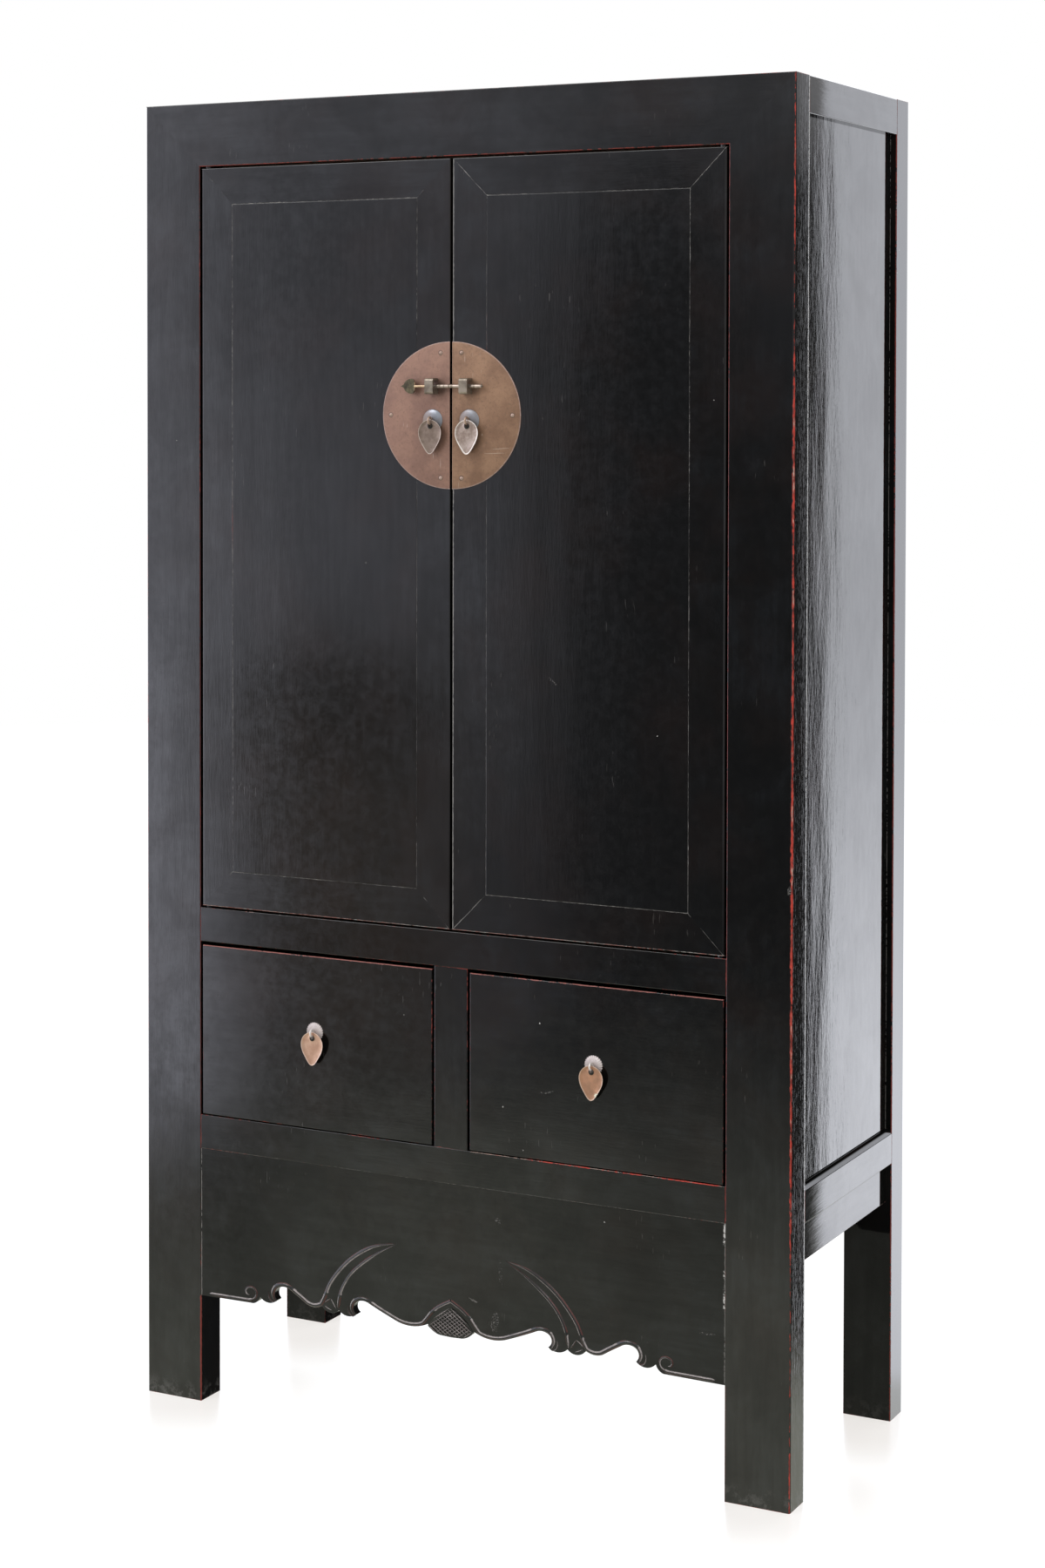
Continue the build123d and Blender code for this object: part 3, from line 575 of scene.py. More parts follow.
def arc_points(start, through, end, steps=10):
    """Points along the round arc from start to end through a third place, in a plane."""
    (ax, az), (bx, bz), (cx, cz) = start, through, end
    turn = 2 * (ax * (bz - cz) + bx * (cz - az) + cx * (az - bz))
    a2, b2, c2 = ax * ax + az * az, bx * bx + bz * bz, cx * cx + cz * cz
    ox = (a2 * (bz - cz) + b2 * (cz - az) + c2 * (az - bz)) / turn
    oz = (a2 * (cx - bx) + b2 * (ax - cx) + c2 * (bx - ax)) / turn
    radius = math.dist((ax, az), (ox, oz))
    first, mid, last = (math.atan2(z - oz, x - ox) for x, z in (start, through, end))
    sweep = (last - first) % (2 * math.pi)
    if (mid - first) % (2 * math.pi) > sweep:
        sweep -= 2 * math.pi
    angles = [first + sweep * step / steps for step in range(1, steps + 1)]
    return [(ox + radius * math.cos(angle), oz + radius * math.sin(angle)) for angle in angles]


def smooth_line(points, steps=8):
    """Points along a smooth line through the given places."""
    places = [Vector(point) for point in points]
    found = [places[0]]
    for number in range(len(places) - 1):
        before = places[max(number - 1, 0)]
        here, there = places[number], places[number + 1]
        after = places[min(number + 2, len(places) - 1)]
        found += interpolate_bezier(here.to_3d(), (here + (there - before) / 6).to_3d(),
                                    (there - (after - here) / 6).to_3d(), there.to_3d(), steps + 1)[1:]
    return [Vector((point[0], point[1])) for point in found]


def offset_line(line, distance):
    """A line moved sideways, to its left where the distance is positive."""
    moved = []
    for number, here in enumerate(line):
        before, after = line[max(number - 1, 0)], line[min(number + 1, len(line) - 1)]
        run = (Vector(after) - Vector(before)).normalized()
        moved.append(Vector(here) + Vector((-run.y, run.x)) * distance)
    return moved


def ribbon(shape, line, width, height, face, steps=6, taper=(0, 0)):
    """A half-round strip along a line on the front, tapered over its first and last points. Each
    vertex keeps how far up the crest it is and on which flank."""
    crest = shape.verts.layers.float.get("crest") or shape.verts.layers.float.new("crest")
    flank = shape.verts.layers.float.get("flank") or shape.verts.layers.float.new("flank")
    columns = len(line)
    made = bmesh.ops.create_grid(shape, x_segments=columns - 1, y_segments=steps, size=0.5)["verts"]
    left, right = offset_line(line, 0.5), offset_line(line, -0.5)
    for vert in made:
        column = round((vert.co.x + 0.5) * (columns - 1))
        share = round((vert.co.y + 0.5) * steps) / steps
        room = min(1.0, (column + 0.15) / taper[0] if taper[0] else 1.0,
                   (columns - 0.85 - column) / taper[1] if taper[1] else 1.0)
        middle = Vector(line[column])
        place = middle + (Vector(left[column]).lerp(Vector(right[column]), share) - middle) * width * room
        rise = math.sin(math.pi * share)
        vert.co = (place.x, face - height * rise * room ** 0.5 + 0.3, place.y)
        vert[crest] = 0.15 + 0.85 * rise
        vert[flank] = share


# ---- The apron ----------------------------------------------------------------------------------

# Its own places, as in its frame: x from the centre, and z.
apron_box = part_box("front_apron")
apron_top = apron_box[1].z / MM
apron_reach = apron_box[1].x / MM
apron_face = apron_plane / MM
apron_back = apron_box[1].y / MM
apron_start = (apron_reach, 156.4)
apron_flat_end = (327.0, 157.4)
# The lower edge's arcs, each by a place on it and its end.
apron_curves = [
    ((319.8, 161.4), (315.5, 168.6)),
    ((298.8, 161.8), (286.0, 168.0)),
    ((290.2, 177.6), (284.0, 186.6)),
    ((275.0, 188.8), (263.0, 185.2)),
    ((249.0, 177.2), (236.0, 169.2)),
    ((224.0, 166.8), (210.5, 170.6)),
    ((196.6, 162.8), (182.4, 168.4)),
    ((166.6, 162.0), (152.6, 167.2)),
    ((158.0, 177.0), (151.5, 185.8)),
    ((143.4, 187.8), (132.0, 185.0)),
    ((111.0, 176.2), (90.0, 168.0)),
    ((64.0, 163.6), (37.0, 170.6)),
    ((29.0, 162.4), (17.0, 158.0)),
]
apron_centre = (0.0, 157.3)
leaf_outer = [(193.5, 211.0), (164.0, 244.0), (126.0, 268.0), (86.0, 278.0)]
leaf_inner = [(184.0, 170.5), (178.0, 199.0), (159.0, 228.0), (123.0, 257.0), (86.0, 278.0)]
scroll_bead = [(apron_reach - 14.0, 161.0), (apron_reach - 28.0, 160.9), (350.0, 161.3), (336.0, 161.5),
               (329.0, 162.8)]
scroll_curl = [(323.6, 166.6), (321.4, 173.0), (324.8, 179.0), (331.2, 180.9), (337.8, 178.6), (340.2, 173.6),
               (337.6, 169.6), (333.2, 168.9)]
over_bud = [(45.6, 171.2), (38.6, 179.0), (30.0, 189.2), (17.7, 199.0), (0.0, 208.6)]
hooks = [[(289.4, 166.0), (293.6, 164.4), (298.2, 167.0), (300.8, 173.4), (300.2, 180.4)],
         [(155.6, 165.4), (159.8, 163.8), (164.4, 166.4), (167.0, 172.6), (166.4, 179.4)]]
leaf_foot = [[(207.0, 175.0), (201.6, 179.6), (196.0, 183.6)],
             [(196.0, 183.6), (191.6, 176.6), (187.0, 170.4)],
             [(206.0, 171.6), (200.0, 168.6), (193.6, 166.4)]]
bead_width = 6.6
thin_bead = bead_width * 0.85
bead_inset = 3.5
hatch_spacing = 4.4
hatch_inset = 2.4


def apron_edge(first=0, last=None):
    """The lower edge's points over some of its curves."""
    starts = [apron_flat_end] + [end for through, end in apron_curves]
    found = [starts[first]]
    for number, (through, end) in list(enumerate(apron_curves))[first:last]:
        found += arc_points(starts[number], through, end)
    return found


def apron_board():
    """The board with its wavy lower edge, eased all round the front."""
    shape = bmesh.new()
    outline = [(0.0, apron_top), (apron_reach, apron_top), apron_start] + apron_edge() + [apron_centre]
    shape.faces.new([shape.verts.new((x, apron_face, z)) for x, z in outline])
    mirrored(shape)
    rim = [edge for edge in shape.edges if edge.is_boundary]
    pulled(shape, shape.faces[:], (0, apron_back - apron_face, 0))
    bmesh.ops.recalc_face_normals(shape, faces=shape.faces)
    ease(shape, [edge for edge in rim if all(vert.co.z < apron_top - 1 for vert in edge.verts)], 0.5)
    return shape


def apron_beads():
    """The raised bead along the lower edge, with its scroll and hooks, and the leaves' ridges."""
    shape = bmesh.new()
    to_leaf = offset_line(apron_edge(2, 6), -bead_inset)
    outer_ridge = smooth_line([to_leaf[-1], (206.4, 184.0)] + leaf_outer, 9)
    to_bud = offset_line(apron_edge(8, 12), -bead_inset)[:-3]
    crown = smooth_line([to_bud[-1]] + over_bud, 6)
    for line, width, height, taper in (
            (smooth_line(scroll_bead), 5.6, 2.0, (4, 1)),
            (smooth_line(scroll_bead[-1:] + scroll_curl), 3.4, 2.0, (1, 8)),
            (to_leaf + outer_ridge[1:], bead_width, 2.4, (5, 12)),
            (to_bud + crown[1:], thin_bead, 2.2, (5, 0)),
            (smooth_line(leaf_inner, 9), thin_bead, 2.4, (3, 12))):
        ribbon(shape, line, width, height, apron_face, taper=taper)
    for hook in hooks:
        ribbon(shape, smooth_line(hook), 2.4, 1.4, apron_face, steps=4, taper=(6, 10))
    for line in leaf_foot:
        ribbon(shape, smooth_line(line, 5), 2.2, 1.3, apron_face, steps=4, taper=(3, 3))
    mirrored(shape)
    return shape


def line_inside(start, run, outline):
    """Where a straight line enters and leaves an outline, as distances along it."""
    across = Vector((-run.y, run.x))
    found = []
    for here, there in zip(outline, outline[1:] + outline[:1]):
        first, second = Vector(here) - start, Vector(there) - start
        off_first, off_second = first.dot(across), second.dot(across)
        if off_first * off_second < 0:
            found.append(first.lerp(second, off_first / (off_first - off_second)).dot(run))
    return (min(found), max(found)) if len(found) > 1 else None


def bud_shape():
    """The bud at the middle: a low raised plate with crossed ridges in front of it."""
    shape = bmesh.new()
    side = smooth_line([(0.0, 200.5), (13.0, 193.0), (24.0, 184.0), (31.0, 176.0), (36.5, 168.8)], 5)
    low = arc_points((36.5, 168.8), (28.0, 162.9), (17.0, 158.8), 6)
    half = [tuple(point) for point in side] + low + [(0.0, 158.0)]
    outline = half + [(-x, z) for x, z in reversed(half[1:-1])]
    shape.faces.new([shape.verts.new((x, apron_face + 0.3, z)) for x, z in outline])
    about_middle = Matrix.Translation((0.0, 0.0, -177.0))
    for share, depth in ((1.0, 1.0), (0.94, 0.9), (0.84, 0.5)):
        cap = pulled(shape, shape.faces[-1:], (0, -depth, 0))
        bmesh.ops.scale(shape, vec=(share, 1, share), space=about_middle, verts=cap)
        shape.faces.ensure_lookup_table()
    for hand in (-1, 1):
        run = Vector((1.0, hand * 0.72)).normalized()
        across = Vector((-run.y, run.x))
        for number in range(-9, 10):
            start = Vector((0.0, 178.0)) + across * number * hatch_spacing
            span = line_inside(start, run, outline)
            if span and span[1] - span[0] > 7:
                first, last = start + run * (span[0] + hatch_inset), start + run * (span[1] - hatch_inset)
                line = [first.lerp(last, step / 6) for step in range(7)]
                ribbon(shape, line, 1.2, 0.9, apron_face - 1.9, steps=4, taper=(1, 1))
    bmesh.ops.recalc_face_normals(shape, faces=shape.faces)
    return shape


# ---- Metalwork ----------------------------------------------------------------------------------

left_plate, right_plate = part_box("left_lock_plate"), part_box("right_lock_plate")
plate_front = left_plate[0].y / MM
plate_back = left_plate[1].y / MM
plate_middle = (left_plate[0].z + left_plate[1].z) / 2 / MM
plate_half_height = (left_plate[1].z - left_plate[0].z) / 2 / MM
plate_gap = right_plate[0].x / MM
plate_reach = right_plate[1].x / MM - plate_gap
# Where the pulls' eyes are, from the middle and the floor, and how far the eyes stand out.
door_pull = (29.0, 1442.5)
drawer_pull = (221.75, 565.5)
eye_out = 8.5
# Places and reaches of painted shadows on both plates: at the staple, around the pull and below it.
plate_shadows = ((27.0, 1490.0, 17.0), (*door_pull, 21.0), (29.0, 1420.0, 24.0))
plate_nails = ((16.5, plate_middle + 87.0), (16.5, plate_middle - 87.0), (96.0, 1450.0))
# Each side's tones, the place of the lock's painted shadow on it, how pale its straight edge is and its
# strokes.
plate_looks = {
    "left": ((0.285, 0.159, 0.110, 1), (0.200, 0.108, 0.078, 1), (18.0, 1488.0, 15.0), 0.0,
             [(-49.0, 1431.5, (0.006, 0.0009), 10), (-38.5, 1430.5, (0.0025, 0.0012), 30)]),
    "right": ((0.335, 0.196, 0.118, 1), (0.205, 0.112, 0.066, 1), (35.0, 1488.0, 15.0), 0.4,
              [(78.0, 1404.0, (0.026, 0.0007), 4), (68.0, 1397.5, (0.030, 0.0007), 2),
               (49.0, 1423.0, (0.002, 0.003), 0)]),
}
# A pull leaf's right half, as Bezier curves from its top to its tip.
leaf_half = [((0, 1.2), (9.0, 1.2), (17.6, -6.5), (18.0, -16.0)),
             ((18.0, -16.0), (18.2, -22.5), (15.6, -28.4), (12.24, -33.6)),
             ((12.24, -33.6), (9.6, -37.7), (7.6, -41.2), (5.4, -43.68)),
             ((5.4, -43.68), (3.6, -45.8), (1.8, -46.8), (0.0, -46.8))]
leaf_thickness = 1.6
hole_drop = 6.0
hole_radius = 3.0


def half_disc(side):
    """Half a round plate, with its edge rounded over."""
    shape = bmesh.new()
    bmesh.ops.create_circle(shape, cap_ends=True, segments=160, radius=1.0)
    turn = Matrix.Rotation(math.radians(90), 3, "X")
    bmesh.ops.rotate(shape, cent=(0, 0, 0), matrix=turn, verts=shape.verts)
    bmesh.ops.bisect_plane(shape, geom=everything(shape), plane_co=(0, 0, 0), plane_no=(-side, 0, 0),
                           clear_outer=True)
    bmesh.ops.scale(shape, vec=(plate_reach, 1, plate_half_height), verts=shape.verts)
    bmesh.ops.translate(shape, vec=(side * plate_gap, plate_front, plate_middle), verts=shape.verts)
    rim = [edge for edge in shape.edges if edge.is_boundary]
    pulled(shape, shape.faces[:], (0, plate_back - plate_front, 0))
    bmesh.ops.recalc_face_normals(shape, faces=shape.faces)
    ease(shape, rim, 0.55, 3)
    return shape


def plate_metal(name, side):
    """Dull copper-coloured sheet, with a painted shadow around the lock and the pull, dark around its nails,
    and pale along its rim.
    """
    material, board, shader = new_material(f"copper_{name}_plate")
    light, dark, lock_shadow, edge_paleness, strokes = plate_looks[name]
    here = board.here()
    clouds = board.noise(board.place(move=(0.4, 0, 0.1)), 26.0, 6.0, 0.66)
    grain = board.noise(board.place(move=(0.2, 0, 0.6)), 300.0, 4.0, 0.7)
    colour = board.blend(board.ramp(clouds, 0.3, 0.7), light, dark)
    colour = board.blend(board.ramp(grain, 0.5, 0.72, 0.0, 0.45), colour, (0.12, 0.075, 0.054, 1))
    marks = board.use(specks, Scale=90.0, Share=0.3, Seed=0.17 * side)
    colour = board.blend(board.times(marks["Scratches"], 0.5), colour, (0.45, 0.36, 0.30, 1))

    def on_plate(x, z):
        """A place on the plate's face, in metres."""
        return (x * MM, plate_front * MM, z * MM)

    # Painted shadow: the sheet is darkened around the lock's staples and around and below the pull, broken up
    # by the clouds.
    shadows = [board.ramp(board.vector("DISTANCE", here, on_plate(side * x, z)), reach * MM,
                          reach * 0.35 * MM) for x, z, reach in (lock_shadow, *plate_shadows)]
    shadow = board.times(board.larger(*shadows), board.ramp(clouds, 0.25, 0.6, 0.25, 0.8), 0.6)
    colour = board.blend(shadow, colour, (0.060, 0.042, 0.034, 1))
    from_centre = board.vector("SUBTRACT", here, on_plate(side * plate_gap, plate_middle))
    radial = board.vector("LENGTH", board.vector("DIVIDE", from_centre,
                                                 (plate_reach * MM, 1.0, plate_half_height * MM)))
    from_middle = board.math("ABSOLUTE", board.split(here)[0])
    straight = board.ramp(from_middle, (plate_gap + 0.9) * MM, (plate_gap + 0.2) * MM, 0.0, edge_paleness)
    pale = board.times(board.larger(board.ramp(radial, 0.985, 0.996), straight),
                       board.ramp(grain, 0.35, 0.55, 0.3, 0.9))
    colour = board.blend(pale, colour, (0.46, 0.33, 0.29, 1))
    around_nails = [board.ramp(board.apart((side * x * MM, 0, z * MM), front_to_back), 0.0042, 0.0029)
                    for x, z in plate_nails]
    colour = board.blend(board.times(board.larger(*around_nails), 0.7), colour, (0.05, 0.034, 0.028, 1))
    for x, z, size, turn in strokes:
        stroke = scuffed(board, on_plate(x, z), size, turn)
        colour = board.blend(board.times(stroke, 0.8), colour, (0.52, 0.40, 0.32, 1))
    height = board.times_add(grain, 3.0e-5, board.times(clouds, 3.0e-4))
    finish(board, shader, colour, board.ramp(grain, 0.3, 0.7, 0.38, 0.55), height, 0.35)
    return material


def turned(shape, profile, place, scallops):
    """A round form about the Y axis at a place, from a profile of (radius, height towards the front),
    with scallops around its rim."""
    verts = [shape.verts.new((radius, -rise, 0)) for radius, rise in profile]
    line = [shape.edges.new(pair) for pair in zip(verts, verts[1:])]
    made = spun(shape, set(shape.verts) - set(verts), verts + line, (0, 1, 0), 48)
    for vert in made:
        angle = math.atan2(vert.co.z, vert.co.x)
        near_rim = min(1.0, (math.hypot(vert.co.x, vert.co.z) / profile[0][0]) ** 3)
        grow = 1 - 0.09 * abs(math.sin(scallops * angle / 2)) ** 0.7 * near_rim
        vert.co.x *= grow
        vert.co.z *= grow
    bmesh.ops.translate(shape, vec=place, verts=made)


def rod(shape, start, end, radius):
    """A straight round bar between two places."""
    start, end = Vector(start), Vector(end)
    run = end - start
    matrix = Matrix.Translation((start + end) / 2) @ run.to_track_quat("Z", "Y").to_matrix().to_4x4()
    made = bmesh.ops.create_cone(shape, cap_ends=True, segments=20, radius1=radius, radius2=radius,
                                 depth=run.length, matrix=matrix)["verts"]
    around_ends = [edge for edge in edges_within(shape, made)
                   if any(len(face.verts) > 4 for face in edge.link_faces)]
    ease(shape, around_ends, 0.3)


def ring(shape, place, major, minor):
    """A round wire ring standing in the YZ plane, as a pull's eye."""
    before = set(shape.verts)
    turn = Matrix.Rotation(math.radians(90), 4, "Z")
    section = bmesh.ops.create_circle(shape, segments=14, radius=minor, matrix=turn)["verts"]
    for vert in section:
        vert.co = (vert.co.x, vert.co.y + major, 0)
    made = spun(shape, before, section + edges_within(shape, section), (1, 0, 0), 40)
    bmesh.ops.translate(shape, vec=place, verts=made)


def pull_mount(x, z, base, wall, rosette, scallops):
    """A rosette with an eye in front of it and a stem that is clenched behind the wood."""
    shape = bmesh.new()
    profile = [(rosette, 0.0), (rosette, 0.5), (rosette - 0.4, 0.95), (rosette - 1.6, 1.25),
               (rosette - 3.0, 1.9), (rosette * 0.55, 2.55), (rosette * 0.3, 2.9), (2.0, 3.0), (0.0, 3.05)]
    turned(shape, profile, (x, base, z), scallops)
    ring(shape, (x, base - eye_out, z), 4.6, 1.4)
    rod(shape, (x, base - 3.9, z), (x, base + wall + 1.0, z), 1.8)
    bar = bmesh.ops.create_cube(shape, size=1.0)["verts"]
    bmesh.ops.scale(shape, vec=(14.0, 1.6, 4.0), verts=bar)
    bmesh.ops.translate(shape, vec=(x, base + wall + 0.8, z), verts=bar)
    ease(shape, edges_within(shape, bar), 0.5)
    bmesh.ops.recalc_face_normals(shape, faces=shape.faces)
    return shape


def leaf_shape(x, z, middle_y):
    """An egg-shaped drop: dished, with a raised rim and a hole near its top. Each vertex keeps its
    distance from the rim, in millimetres."""
    shape = bmesh.new()
    rim_layer = shape.verts.layers.float.new("rim")
    right = []
    for points in leaf_half:
        places = interpolate_bezier(*[Vector((*point, 0)) for point in points], 8)
        right += [(place.x, place.y) for place in places[:-1]]
    outline = right + [leaf_half[-1][-1]] + [(-px, pz) for px, pz in reversed(right[1:])]
    count = len(outline)
    outer = [shape.verts.new((px, 0, pz)) for px, pz in outline]
    angles = [math.pi / 2 - 2 * math.pi * number / count for number in range(count)]
    inner = [shape.verts.new((hole_radius * math.cos(angle), 0, hole_radius * math.sin(angle) - hole_drop))
             for angle in angles]
    loops = [shape.edges.new((loop[number], loop[(number + 1) % count]))
             for loop in (outer, inner) for number in range(count)]
    bmesh.ops.bridge_loops(shape, edges=loops)
    spokes = [edge for edge in shape.edges if edge not in loops and len(edge.link_faces) == 2]
    bmesh.ops.subdivide_edges(shape, edges=spokes, cuts=7, use_grid_fill=True)
    rim = [Vector(point) for point in outline]
    for vert in shape.verts:
        here = Vector((vert.co.x, vert.co.z))
        from_rim = min((here - point).length for point in rim)
        from_hole = (here - Vector((0, -hole_drop))).length - hole_radius
        dish = 0.75 * min(1.0, max(0.0, from_rim - 1.2) / 3.0) * min(1.0, from_hole / 2.5)
        vert.co.y = -leaf_thickness / 2 + dish
        vert[rim_layer] = from_rim
    pulled(shape, shape.faces[:], (0, 0.9, 0))
    bmesh.ops.recalc_face_normals(shape, faces=shape.faces)
    bmesh.ops.translate(shape, vec=(x, middle_y, z), verts=shape.verts)
    return shape


def leaf_metal(name, x, z, light, dark, rim_colour, rim_width, seed, chip=None):
    """A pull leaf's metal, pale along its rim, as rubbed wear and on the right door's leaf also as a painted
    sheen, with painted shade around and below its hole.
    """
    material, board, shader = new_material(name)
    clouds = board.noise(board.place(move=(seed, 0, seed)), 70.0, 5.0, 0.65)
    grain = board.noise(board.place(move=(seed, 0, 0)), 420.0, 3.0, 0.6)
    colour = board.blend(board.ramp(clouds, 0.34, 0.66), light, dark)
    colour = board.blend(board.ramp(grain, 0.55, 0.72, 0.0, 0.3), colour, dark)
    # The pale rim is rubbed wear; on the right door's broad whitish rim it is also a painted sheen.
    width = board.ramp(clouds, 0.3, 0.7, rim_width * 1.35, rim_width * 0.7)
    rim_wear_and_sheen = board.ramp(board.math("DIVIDE", board.layer("rim"), width), 1.1, 0.75)
    colour = board.blend(board.times(rim_wear_and_sheen, 0.85), colour, rim_colour)
    # Painted shade: near-black around and just below the hole, where the eye passes through.
    from_hole = board.apart(((x + 0.6) * MM, 0.0, (z - 7.6) * MM), front_to_back)
    colour = board.blend(board.ramp(from_hole, 0.0048, 0.0036), colour, (0.012, 0.010, 0.008, 1))
    if chip:
        colour = board.blend(scuffed(board, chip, (0.0075, 0.0055)), colour, (0.72, 0.68, 0.52, 1))
    height = board.times_add(grain, 3.0e-5, board.times(clouds, 1.0e-4))
    finish(board, shader, colour, board.ramp(clouds, 0.3, 0.7, 0.304, 0.494), height, 0.45)
    return material


def mount_metal(name, x, z, base, light, dark, eye_colour_and_highlight, flutes, metallic, seed):
    """A rosette's metal, fluted or plain, with painted light that makes it lighter towards its upper right,
    painted shade in its flutes' hollows, and its eye in another, paler tone that is partly a painted
    highlight.
    """
    material, board, shader = new_material(name)
    px, py, pz = board.split(board.vector("SUBTRACT", board.here(), (x * MM, 0.0, z * MM)))
    clouds = board.noise(board.place(move=(seed, 0, seed)), 60.0, 3.0, 0.55)
    # Painted light: the rosette is lighter towards its upper right and darker towards its lower left.
    painted_light_side = board.times_add(px, 32.0, board.times_add(pz, 22.0, 0.5))
    colour = board.blend(board.ramp(painted_light_side, 0.0, 1.0), dark, light)
    colour = board.blend(board.ramp(clouds, 0.4, 0.7, 0.0, 0.4), colour, dark)
    height = board.times(clouds, 5.0e-5)
    if flutes:
        radius = board.vector("LENGTH", board.join(px, 0.0, pz))
        wave = board.math("SINE", board.times(board.math("ARCTAN2", pz, px), float(flutes)))
        wave = board.times(wave, board.ramp(radius, 0.004, 0.010))
        # Painted shade in the flutes' hollows, besides their bumps.
        colour = board.blend(board.ramp(wave, 0.0, 1.0, 0.0, 0.45), colour, dark)
        height = board.times_add(wave, -1.4e-4, height)
    # The eye's paler tone is partly a painted highlight.
    colour = board.blend(board.ramp(py, (base - 3.4) * MM, (base - 4.2) * MM), colour, eye_colour_and_highlight)
    finish(board, shader, colour, board.ramp(clouds, 0.3, 0.7, 0.30, 0.42), height, metallic)
    return material


def pin_metal(name):
    """The sliding pin: a dark head, a rubbed brass neck and a hammered grey-brown rod."""
    material, board, shader = new_material(name)
    along = board.split(board.here())[0]
    clouds = board.noise(board.place(move=(0.3, 0, 0.1)), 150.0, 5.0, 0.65)
    bands = board.noise(board.place(stretch=(1.0, 0.3, 0.3)), 260.0, 2.0, 0.6)
    head = board.blend(board.ramp(clouds, 0.35, 0.65), (0.125, 0.105, 0.060, 1), (0.050, 0.042, 0.028, 1))
    neck = board.blend(board.ramp(clouds, 0.35, 0.65), (0.62, 0.46, 0.30, 1), (0.40, 0.28, 0.18, 1))
    shaft = board.blend(board.ramp(bands, 0.35, 0.65), (0.46, 0.38, 0.32, 1), (0.17, 0.135, 0.105, 1))
    colour = board.blend(board.ramp(along, -0.0240, -0.0225), neck, shaft)
    colour = board.blend(board.ramp(along, -0.0545, -0.0530), head, colour)
    height = board.times_add(bands, 5.0e-4, board.times(clouds, 1.0e-4))
    finish(board, shader, colour, board.ramp(clouds, 0.3, 0.7, 0.30, 0.45), height, 0.7)
    return material


# ---- Dressing the frame's own boards ------------------------------------------------------------


def dress(node, material):
    """Give one of the frame's own nodes its material."""
    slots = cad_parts[node].data.materials
    slots.clear()
    slots.append(material)


def node_box(node):
    """The low and high corners of a node, as plain tuples."""
    low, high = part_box(node)
    return tuple(low), tuple(high)


def dress_lacquer(node, grain, seed, box=None, **looks):
    """Lacquer one of the frame's own boards, worn along the edges of its box or of the one given."""
    dress(node, lacquer(f"lacquer_{node}", *(box or node_box(node)), grain, seed, **looks))


# Where the side's parts meet the posts and where the side panel ends, from front to back.
front_joint = -0.1682
back_joint = 0.169
panel_end = 0.1678
case_mitres = {"frame_box": ((-side_face, -1.0, -10.0), (side_face, 1.0, 1.9)), "slope": 91.0 / 94.0,
               "reach": 0.094, "mitred": 0.12}
# Each part of a side: its grain, gloss, fine and slow waves and brush marks.
side_parts = {
    "top_rail": (along_y, 0.020, 0.8, 0.7, 0.6),
    "bottom_rail": (along_y, 0.018, 0.7, 0.6, 0.6),
    "side_panel": ((1.0, 1.0, 0.25), 0.016, 1.5, 0.75, 0.35),
    "side_apron": (along_y, 0.022, 0.6, 0.6, 0.6),
}


